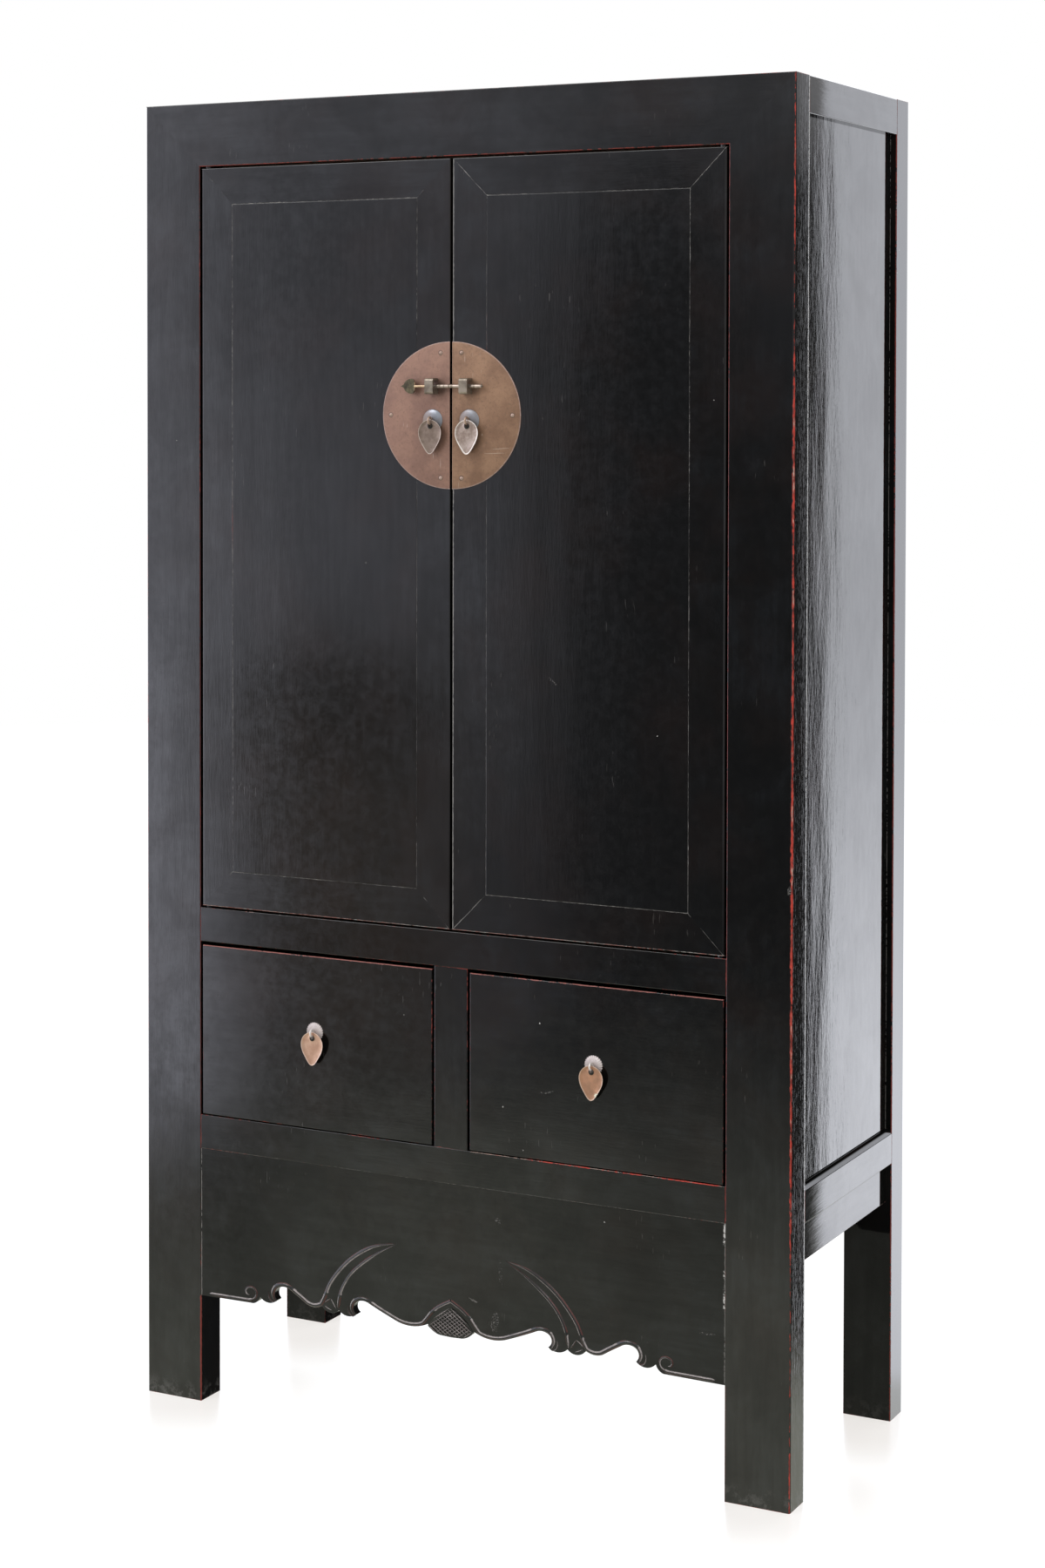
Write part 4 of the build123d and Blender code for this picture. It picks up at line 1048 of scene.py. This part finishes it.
def dress_case():
    """The posts, rails, panels and aprons of the case."""
    seeds = iter(0.37 * number for number in range(1, 60))
    for name, side in both_sides.items():
        right = side > 0
        outside, inside = side * side_face, side * apron_reach * MM
        beside_doors, beside_apron = (0.7, 0.3) if right else (0.3, 0.9)
        post_lines = [
            ((outside, front_joint, 0), upright, 0.0032, pale_chip_and_highlight, 0.7, 0.12),
            ((inside, front_face, 0), upright, 0.0013, red_coat, beside_doors, 0.3, "z", 0.374, 1.811),
            ((inside, front_face, 0), upright, 0.0021, red_coat, beside_apron, 0.1, "z", -0.01, 0.157)]
        dress_lacquer(f"front_{name}_post", along_z, next(seeds), red=0.8, lines=post_lines, dusty=0.2,
                      corner=((outside, front_face, 0.0), 0.0034 if right else 0.0018),
                      scuffs=[((0.507, -0.216, 0.826), (0.007, 0.012), 0, 0.7)] if right else [],
                      side_gloss=0.016, side_shine=0.36, **case_mitres)
        dress_lacquer(f"back_{name}_post", along_z, next(seeds), worn=0.0011, red=0.8, gloss=0.03, dusty=0.1,
                      lines=[((outside, back_joint, 0), upright, 0.0016, red_coat, 0.8, 0.35)], shine=0.16,
                      side_shine=0.5)
        rail_top = node_box(f"{name}_bottom_rail")[1][2]
        panel_foot = node_box(f"{name}_side_panel")[0][2]
        marks = {
            "bottom_rail": {
                # Along the rail's top edge: a nearly unbroken pale line, partly worn paint and partly a
                # painted highlight, and a wood-coloured worn line below it.
                "lines": [((outside, 0, rail_top), front_to_back, 0.0020, pale_chip_and_highlight, 0.75, 0.1),
                          ((outside, 0, rail_top - 0.0036), front_to_back, 0.0014, raw_wood, 0.6, 0.45)],
                "seams": [((side * 0.505, 0, rail_top), front_to_back, 0.0042)]},
            "side_panel": {
                "lines": [((0, panel_end, 0), (0, 1, 0), 0.0010, pale_dust, 0.7, 0.55),
                          ((0, 0, panel_foot + 0.0008), (0, 0, 1), 0.0009, dark_brown, 0.9, 0.2)]},
        }
        for part, (grain, gloss, fine, swell, brush) in side_parts.items():
            dress_lacquer(f"{name}_{part}", grain, next(seeds), worn=0.0009, red=0.4, gloss=gloss, fine=fine,
                          swell=swell, brush=brush, **marks.get(part, {}))
    foot = node_box("front_top_rail")[0][2]
    dress_lacquer("front_top_rail", along_x, next(seeds), red=0.7, **case_mitres,
                  lines=[((0, front_face, foot), level, 0.0014, red_coat, 0.8, 0.42)])
    low, high = node_box("front_drawer_rail")
    drawer_rail_lines = [
        ((0, front_face, high[2]), level, 0.0008, raw_wood, 0.6, 0.25, "x", 0.03, 0.414),
        ((0, front_face, high[2]), level, 0.0013, bright_red, 0.9, 0.70, "x", 0.12, 0.41),
        ((0, front_face, low[2]), level, 0.0009, pale_dust, 0.45, 0.45, "x", 0.0, 0.417),
        ((0, front_face, low[2]), level, 0.0009, pale_dust, 0.35, 0.75, "x", -0.417, 0.0)]
    for part in ("front_middle_rail", "front_drawer_rail", "back_top_rail", "back_bottom_rail"):
        dress_lacquer(part, along_x, next(seeds), worn=0.0015, red=0.9, shine=0.40,
                      lines=drawer_rail_lines if part == "front_drawer_rail" else [])
    dress_lacquer("drawer_divider", along_z, next(seeds), worn=0.0016, red=0.9)


def dress_doors():
    """The frames and panels of the doors, and the drawer fronts."""
    seeds = iter(30.0 + 0.41 * number for number in range(1, 40))
    for name, side in both_sides.items():
        right = side > 0
        parts = [f"{name}_door_{part}"
                 for part in ("hinge_stile", "meeting_stile", "top_rail", "bottom_rail")]
        boxes = [node_box(part) for part in parts]
        outer_low = (min(low[0] for low, high in boxes), -1.0, min(low[2] for low, high in boxes[2:]))
        outer_high = (max(high[0] for low, high in boxes), 1.0, max(high[2] for low, high in boxes[2:]))
        for part, (low, high) in zip(parts, boxes):
            grain = along_x
            part_lines = []
            if part.endswith("stile"):
                # Without the pivots, which reach past the door.
                low, high = (*low[:2], outer_low[2]), (*high[:2], outer_high[2])
                grain = along_z
            if part == "right_door_meeting_stile":
                part_lines = [((low[0], front_face, 0), upright, 0.0018, pale_dust, 0.9, 0.05)]
            elif part.endswith("bottom_rail"):
                part_lines = [((0, front_face, low[2]), level, 0.0011, pale_chip_and_highlight, 0.6, 0.5),
                              ((0, front_face, low[2]), level, 0.0012, pink_red, 0.8, 0.55)]
            dress_lacquer(part, grain, next(seeds), (low, high), worn=0.0004 if "meeting" in part else 0.0009,
                          red=-0.1, frame_box=(outer_low, outer_high), reach=0.053,
                          mitred=0.55 if right else 0.25, lines=part_lines)
        low, high = node_box(f"{name}_door_panel")
        face = ((low[0] + 0.008, low[1], low[2] + 0.008), (high[0] - 0.008, high[1] + 1.0, high[2] - 0.008))
        dress_lacquer(f"{name}_door_panel", along_z, next(seeds), face, worn=0.0009 if right else 0.0007,
                      red=0.1 if right else -0.6, haze=0.3,
                      scuffs=[((0.157, -0.215, 1.087), (0.024, 0.004), -35, 0.6)] if right else [])
        top = node_box(f"{name}_drawer_front")[1][2]
        dress_lacquer(f"{name}_drawer_front", along_x, next(seeds), worn=0.0015, red=0.9, speckled=0.2,
                      scuffs=[((0.150, front_face, 0.520), (0.026, 0.004), 10, 0.6)] if right else [],
                      lines=[((0, front_face, top), level, 0.0014, pink_red, 0.95, 0.5 if right else 0.2)])


def dress_inside():
    """The plain boards inside the case, its back, top and drawers."""
    grains = {"top_board": along_x, "cupboard_floor": along_x, "floor_bearers": along_y,
              "drawer_runners": along_y, "shelf_battens": along_y, "shelves": along_x, "door_stops": along_x,
              "back_panel": along_z}
    for name in both_sides:
        grains.update({f"{name}_drawer_sides": along_y, f"{name}_drawer_back": along_x,
                       f"{name}_drawer_bottom": along_y})
    for number, (node, grain) in enumerate(grains.items()):
        dress(node, inner_wood(f"wood_{node}", grain, 0.53 * number))


# ---- Adding the new pieces ----------------------------------------------------------------------

# Each pull's leaf: its light and dark tones, its rim's colour and the rim's width. The right door leaf's
# broad whitish rim is partly a painted sheen.
door_leaf_looks = {
    "left": ((0.245, 0.185, 0.145, 1), (0.150, 0.105, 0.080, 1), (0.50, 0.42, 0.36, 1), 1.1),
    "right": ((0.46, 0.37, 0.32, 1), (0.24, 0.175, 0.140, 1), (0.86, 0.80, 0.74, 1), 1.7),
}
drawer_leaf_looks = {
    "left": ((0.56, 0.355, 0.250, 1), (0.46, 0.265, 0.180, 1), (0.80, 0.60, 0.50, 1), 1.2),
    "right": ((0.50, 0.260, 0.155, 1), (0.34, 0.185, 0.110, 1), (0.70, 0.52, 0.40, 1), 1.3),
}
# Each mount: its light and dark tones, which also paint light across it, its eye's colour, which is partly a
# painted highlight, its flutes and how metallic it is.
door_mount_looks = ((0.26, 0.28, 0.32, 1), (0.20, 0.15, 0.12, 1), (0.46, 0.33, 0.25, 1), 0, 0.5)
drawer_mount_looks = ((0.76, 0.68, 0.66, 1), (0.46, 0.39, 0.37, 1), (0.86, 0.80, 0.76, 1), 24, 0.25)


def add_pull(part, metal, x, z, base, mount_sizes, mount_looks, leaf_looks, seeds, chip=None):
    """One pull of a door or a drawer: its mount and its leaf. The mount's sizes are the wood behind it,
    its rosette's radius and its scallops."""
    new_piece(f"{part}_mount", pull_mount(x, z, base, *mount_sizes), part,
              mount_metal(f"{metal}_{part}_mount", x, z, base, *mount_looks, seeds[0]),
              replaces=[f"{part}_pull_mount"])
    new_piece(f"{part}_leaf", leaf_shape(x, z, base - eye_out), f"{part}_pull",
              leaf_metal(f"{metal}_{part}_leaf", x, z, *leaf_looks, seeds[1], chip),
              replaces=[f"{part}_pull_leaf"])


def add_metalwork():
    """Lock plates, pulls, staples, nails and the sliding pin."""
    for name, side in both_sides.items():
        new_piece(f"{name}_plate", half_disc(side), f"{name}_door", plate_metal(name, side),
                  smooth_angle=20, replaces=[f"{name}_lock_plate"])
        dress(f"{name}_plate_nails", aged_metal(f"copper_{name}_nails", (0.44, 0.32, 0.26, 1),
                                                (0.28, 0.19, 0.15, 1), 0.5, 0.35, 2.0 + side))
        low, high = node_box(f"{name}_lock_staple")
        dress(f"{name}_lock_staple",
              aged_metal(f"brass_{name}_staple", (0.30, 0.255, 0.20, 1), (0.135, 0.108, 0.082, 1), 0.6, 0.4,
                         3.0 + side, low=low, high=(high[0], -0.2194, high[2])))
    dress("lock_pin", pin_metal("brass_lock_pin"))
    for name, side in both_sides.items():
        add_pull(f"{name}_door", "brass", side * door_pull[0], door_pull[1], plate_front,
                 (26.4, 15.5, 0), door_mount_looks, door_leaf_looks[name], (7.0 + side, side))
        x = side * drawer_pull[0]
        chip = ((x + 9.0) * MM, -0.2273, 0.5265) if side > 0 else None
        add_pull(f"{name}_drawer", "copper", x, drawer_pull[1], front_face / MM,
                 (20.0, 14.0, 24), drawer_mount_looks, drawer_leaf_looks[name], (9.0 + side, 11.0 + side),
                 chip)


def add_apron():
    """The carved apron under the drawers."""
    low, high = node_box("front_apron")
    inside = apron_reach * MM
    joints = [((inside, apron_plane, 0), upright, 0.0012, pale_dust, 0.6, 0.3),
              ((inside, apron_plane, 0), upright, 0.0028, pale_chip_and_highlight, 0.9, 0.86),
              ((-inside, apron_plane, 0), upright, 0.0011, pale_dust, 0.8, 0.25)]
    marks = [((0.070, apron_plane, 0.190), (0.014, 0.036), -8, 0.62),
             ((0.078, apron_plane, 0.262), (0.009, 0.050), 4, 0.55),
             ((0.074, apron_plane, 0.332), (0.012, 0.009), -40, 0.62),
             ((0.036, apron_plane, 0.215), (0.015, 0.003), -20, 0.75),
             ((0.392, apron_plane, 0.222), (0.030, 0.004), 0, 0.6)]
    board_finish = lacquer("lacquer_apron", low, high, along_x, 21.0, worn=0.0006, red=0.6, lines=joints,
                           scuffs=marks, shine=0.34, speckled=0.2)
    carved = carved_lacquer("lacquer_carving", 0.38, (0.58, 0.68), (0.94, 0.84))
    bud = carved_lacquer("lacquer_bud", 0.15, (0.12, 0.34), (0.90, 0.70))
    new_piece("apron_board", apron_board(), "carcass", board_finish, smooth_angle=20,
              replaces=["front_apron"])
    new_piece("apron_beads", apron_beads(), "carcass", carved, smooth_angle=60)
    new_piece("apron_bud", bud_shape(), "carcass", bud, smooth_angle=50)


# ---- Studio -------------------------------------------------------------------------------------

white = (1, 1, 1, 1)
cool = (0.96, 0.97, 1.10)
soft_cool = (0.97, 0.99, 1.06)
green_grey = (1.0, 1.02, 0.88)
brown = (1.10, 0.93, 0.80)
neutral = (1.0, 1.0, 1.0)
# Each card: its span of azimuth and of elevation in degrees, its soft edges, colour and strength.
# Azimuth is 0 in front of the doors and grows towards the right-hand side.
studio_cards = [
    ((-400, 400), (8, 95), (1, 3), neutral, 1.05),
    ((-400, 400), (-95, -9), (1, 1.5), cool, 0.14),
    ((-400, 400), (-95, -15.2), (1, 3.8), green_grey, 1.0),
    ((-120, -32.9), (-14.0, 40), (1.2, 0.4), cool, 2.15),
    ((-120, -33.4), (-13.4, -6), (0.8, 3.0), cool, 2.5),
    ((-120, -33.0), (-14.2, -11.2), (0.5, 0.6), cool, 2.9),
    ((-120, -34.0), (-13.0, -4.6), (0.3, 1.2), cool, 2.9),
    ((-33.2, -32.3), (-17.4, -13.0), (0.6, 0.9), green_grey, 0.45),
    ((-32.2, -25.9), (-21.0, -14.7), (0.7, 0.9), green_grey, 1.18),
    ((-32.6, -27.2), (-13.0, 6.2), (0.9, 0.8), cool, 1.0),
    ((-120, -34.0), (0.6, 5.2), (0.4, 1.4), cool, 1.85),
    ((-34.0, -32.9), (0.2, 5.2), (0.4, 1.4), cool, 1.22),
    ((-32.9, -27.9), (0.8, 5.0), (0.5, 1.4), cool, 0.70),
    ((-27.4, -21.5), (4.5, 7.0), (0.8, 0.4), cool, 0.62),
    ((-32.6, -27.3), (4.7, 7.0), (0.6, 0.5), cool, 1.05),
    ((-32.9, -28.6), (-13.4, -4.9), (0.45, 0.45), brown, 0.36),
    ((-32.7, -29.0), (-7.3, -5.0), (0.45, 0.5), brown, 0.18),
    ((-28.8, -26.4), (-12.6, -7.4), (0.35, 0.8), cool, 0.42),
    ((-33.3, -32.0), (-8.6, -5.6), (0.3, 0.4), brown, 0.30),
    ((-28.4, -26.2), (-11.4, -10.5), (0.4, 0.3), cool, 0.85),
    ((-28.55, -27.85), (-9.5, -4.5), (0.2, 0.5), cool, 0.90),
    ((-26.8, -12), (-11.9, 4.1), (0.75, 0.45), cool, 0.10),
    ((-23.1, -12), (0.6, 4.4), (0.5, 2.6), cool, 0.38),
    ((-24.9, -23.3), (-1.0, 4.9), (0.4, 0.4), cool, 0.09),
    ((-27.2, -26.3), (1.9, 7.0), (0.3, 0.6), cool, 0.95),
    ((158.78, 215), (-18.9, 60), (0.10, 0.25), soft_cool, 2.1),
    ((158.78, 215), (-18.9, -9), (0.10, 5.0), soft_cool, 3.1),
    ((157.2, 158.74), (-18.8, 4.9), (0.2, 1.3), neutral, 0.05),
    ((118, 157.2), (-30, 60), (0.4, 0.6), neutral, 0.05),
]
# The middles of the feet on the floor.
feet = ((0.464, -0.193), (-0.464, -0.193), (0.475, 0.1445), (-0.475, 0.1445))


def studio_world():
    """A white studio: white to the camera, even to matt surfaces, and soft cards to glossy ones."""
    world = bpy.data.worlds.new("studio")
    bpy.context.scene.world = world
    world.use_nodes = True
    world.node_tree.nodes.clear()
    board = Board(world.node_tree)
    x, y, z = board.split(board.node("ShaderNodeTexCoord").outputs["Generated"])
    azimuth = board.math("DEGREES", board.math("ARCTAN2", x, board.times(y, -1.0)))
    azimuth = board.math("ADD", azimuth, board.times(board.math("LESS_THAN", azimuth, -140.0), 360.0))
    elevation = board.math("DEGREES", board.math("ARCSINE", z))
    radiance = (0.6, 0.6, 0.62, 1)
    for across, up, (soft_across, soft_up), colour, strength in studio_cards:
        sides = [board.ramp(angle, end - edge * into, end + edge * into)
                 for angle, span, edge in ((azimuth, across, soft_across), (elevation, up, soft_up))
                 for end, into in zip(span, (1, -1))]
        shade = tuple(part * strength for part in colour) + (1,)
        radiance = board.blend(board.times(*sides), radiance, shade)
    path = board.node("ShaderNodeLightPath").outputs
    even = board.shade("Background", Color=white, Strength=0.55)
    glossy = board.larger(path["Is Glossy Ray"], path["Is Transmission Ray"])
    unseen = board.mix(glossy, even, board.shade("Background", Color=radiance, Strength=1.0))
    seen = board.shade("Background", Color=white, Strength=1.0)
    board.node("ShaderNodeOutputWorld", {"Surface": board.mix(path["Is Camera Ray"], unseen, seen)})


def studio_floor():
    """A white floor that keeps a faint shadow and a faint reflection of the legs."""
    shape = bmesh.new()
    bmesh.ops.create_circle(shape, cap_ends=True, segments=96, radius=9.0)
    mesh = bpy.data.meshes.new("studio_floor")
    shape.to_mesh(mesh)
    shape.free()
    floor = bpy.data.objects.new("studio_floor", mesh)
    bpy.context.scene.collection.objects.link(floor)
    floor.visible_glossy = False
    material = bpy.data.materials.new("floor_white")
    material.use_nodes = True
    material.node_tree.nodes.clear()
    mesh.materials.append(material)
    board = Board(material.node_tree)
    here = board.here()
    near_feet = board.larger(*[board.ramp(board.vector("DISTANCE", here, (x, y, 0.0)), 0.26, 0.06)
                               for x, y in feet])
    mirror_tone = (0.220, 0.245, 0.270, 1)
    faded = board.mix(near_feet, board.shade("Emission", Color=mirror_tone, Strength=1.05),
                      board.shade("BsdfGlossy", Color=mirror_tone, Roughness=0.22))
    lit = board.add(board.shade("BsdfDiffuse", Color=(0.22, 0.22, 0.22, 1)),
                    board.shade("Emission", Color=(0.745, 0.720, 0.695, 1), Strength=1.0))
    matt = board.shade("BsdfDiffuse", Color=(0.7, 0.7, 0.69, 1))
    camera_ray = board.node("ShaderNodeLightPath").outputs["Is Camera Ray"]
    below = board.node("ShaderNodeNewGeometry").outputs["Backfacing"]
    above = board.mix(camera_ray, matt, board.add(lit, faded))
    whole = board.mix(below, above, board.shade("BsdfTransparent"))
    board.node("ShaderNodeOutputMaterial", {"Surface": whole})


def add_lamp(name, place, size, power):
    """A soft square lamp that faces the middle of the cabinet."""
    data = bpy.data.lights.new(name, "AREA")
    data.shape = "RECTANGLE"
    data.size, data.size_y = size
    data.energy = power
    lamp = bpy.data.objects.new(name, data)
    bpy.context.scene.collection.objects.link(lamp)
    lamp.location = place
    lamp.rotation_euler = (Vector((0, 0, 1.0)) - Vector(place)).to_track_quat("-Z", "Y").to_euler()
    lamp.visible_camera = False


def studio_lamps():
    """Lamps above and in front, high enough that no flat face mirrors them to the camera."""
    add_lamp("key_lamp", (-2.2, -3.4, 4.2), (2.0, 1.6), 70)
    add_lamp("fill_lamp", (3.0, -2.4, 3.8), (1.8, 1.4), 26)
    add_lamp("top_lamp", (0.3, 0.4, 4.4), (2.6, 2.0), 34)
    add_lamp("rear_lamp", (1.2, 3.2, 3.8), (2.0, 1.4), 30)


def studio_camera():
    """The camera, level with the lock and a little to the right."""
    data = bpy.data.cameras.new("camera")
    data.lens = 65.516
    data.sensor_width = 36.0
    data.shift_y = -350 / 1800
    data.clip_end = 100
    camera = bpy.data.objects.new("camera", data)
    bpy.context.scene.collection.objects.link(camera)
    camera.location = (1.9013, -3.6986, 1.4693)
    camera.rotation_euler = Euler([math.radians(angle) for angle in (90 - 1.562, -0.104, 27.2195)], "XYZ")
    bpy.context.scene.camera = camera


bpy.context.scene.view_settings.view_transform = "Standard"
dress_case()
dress_doors()
dress_inside()
add_apron()
add_metalwork()
studio_world()
studio_floor()
studio_lamps()
studio_camera()
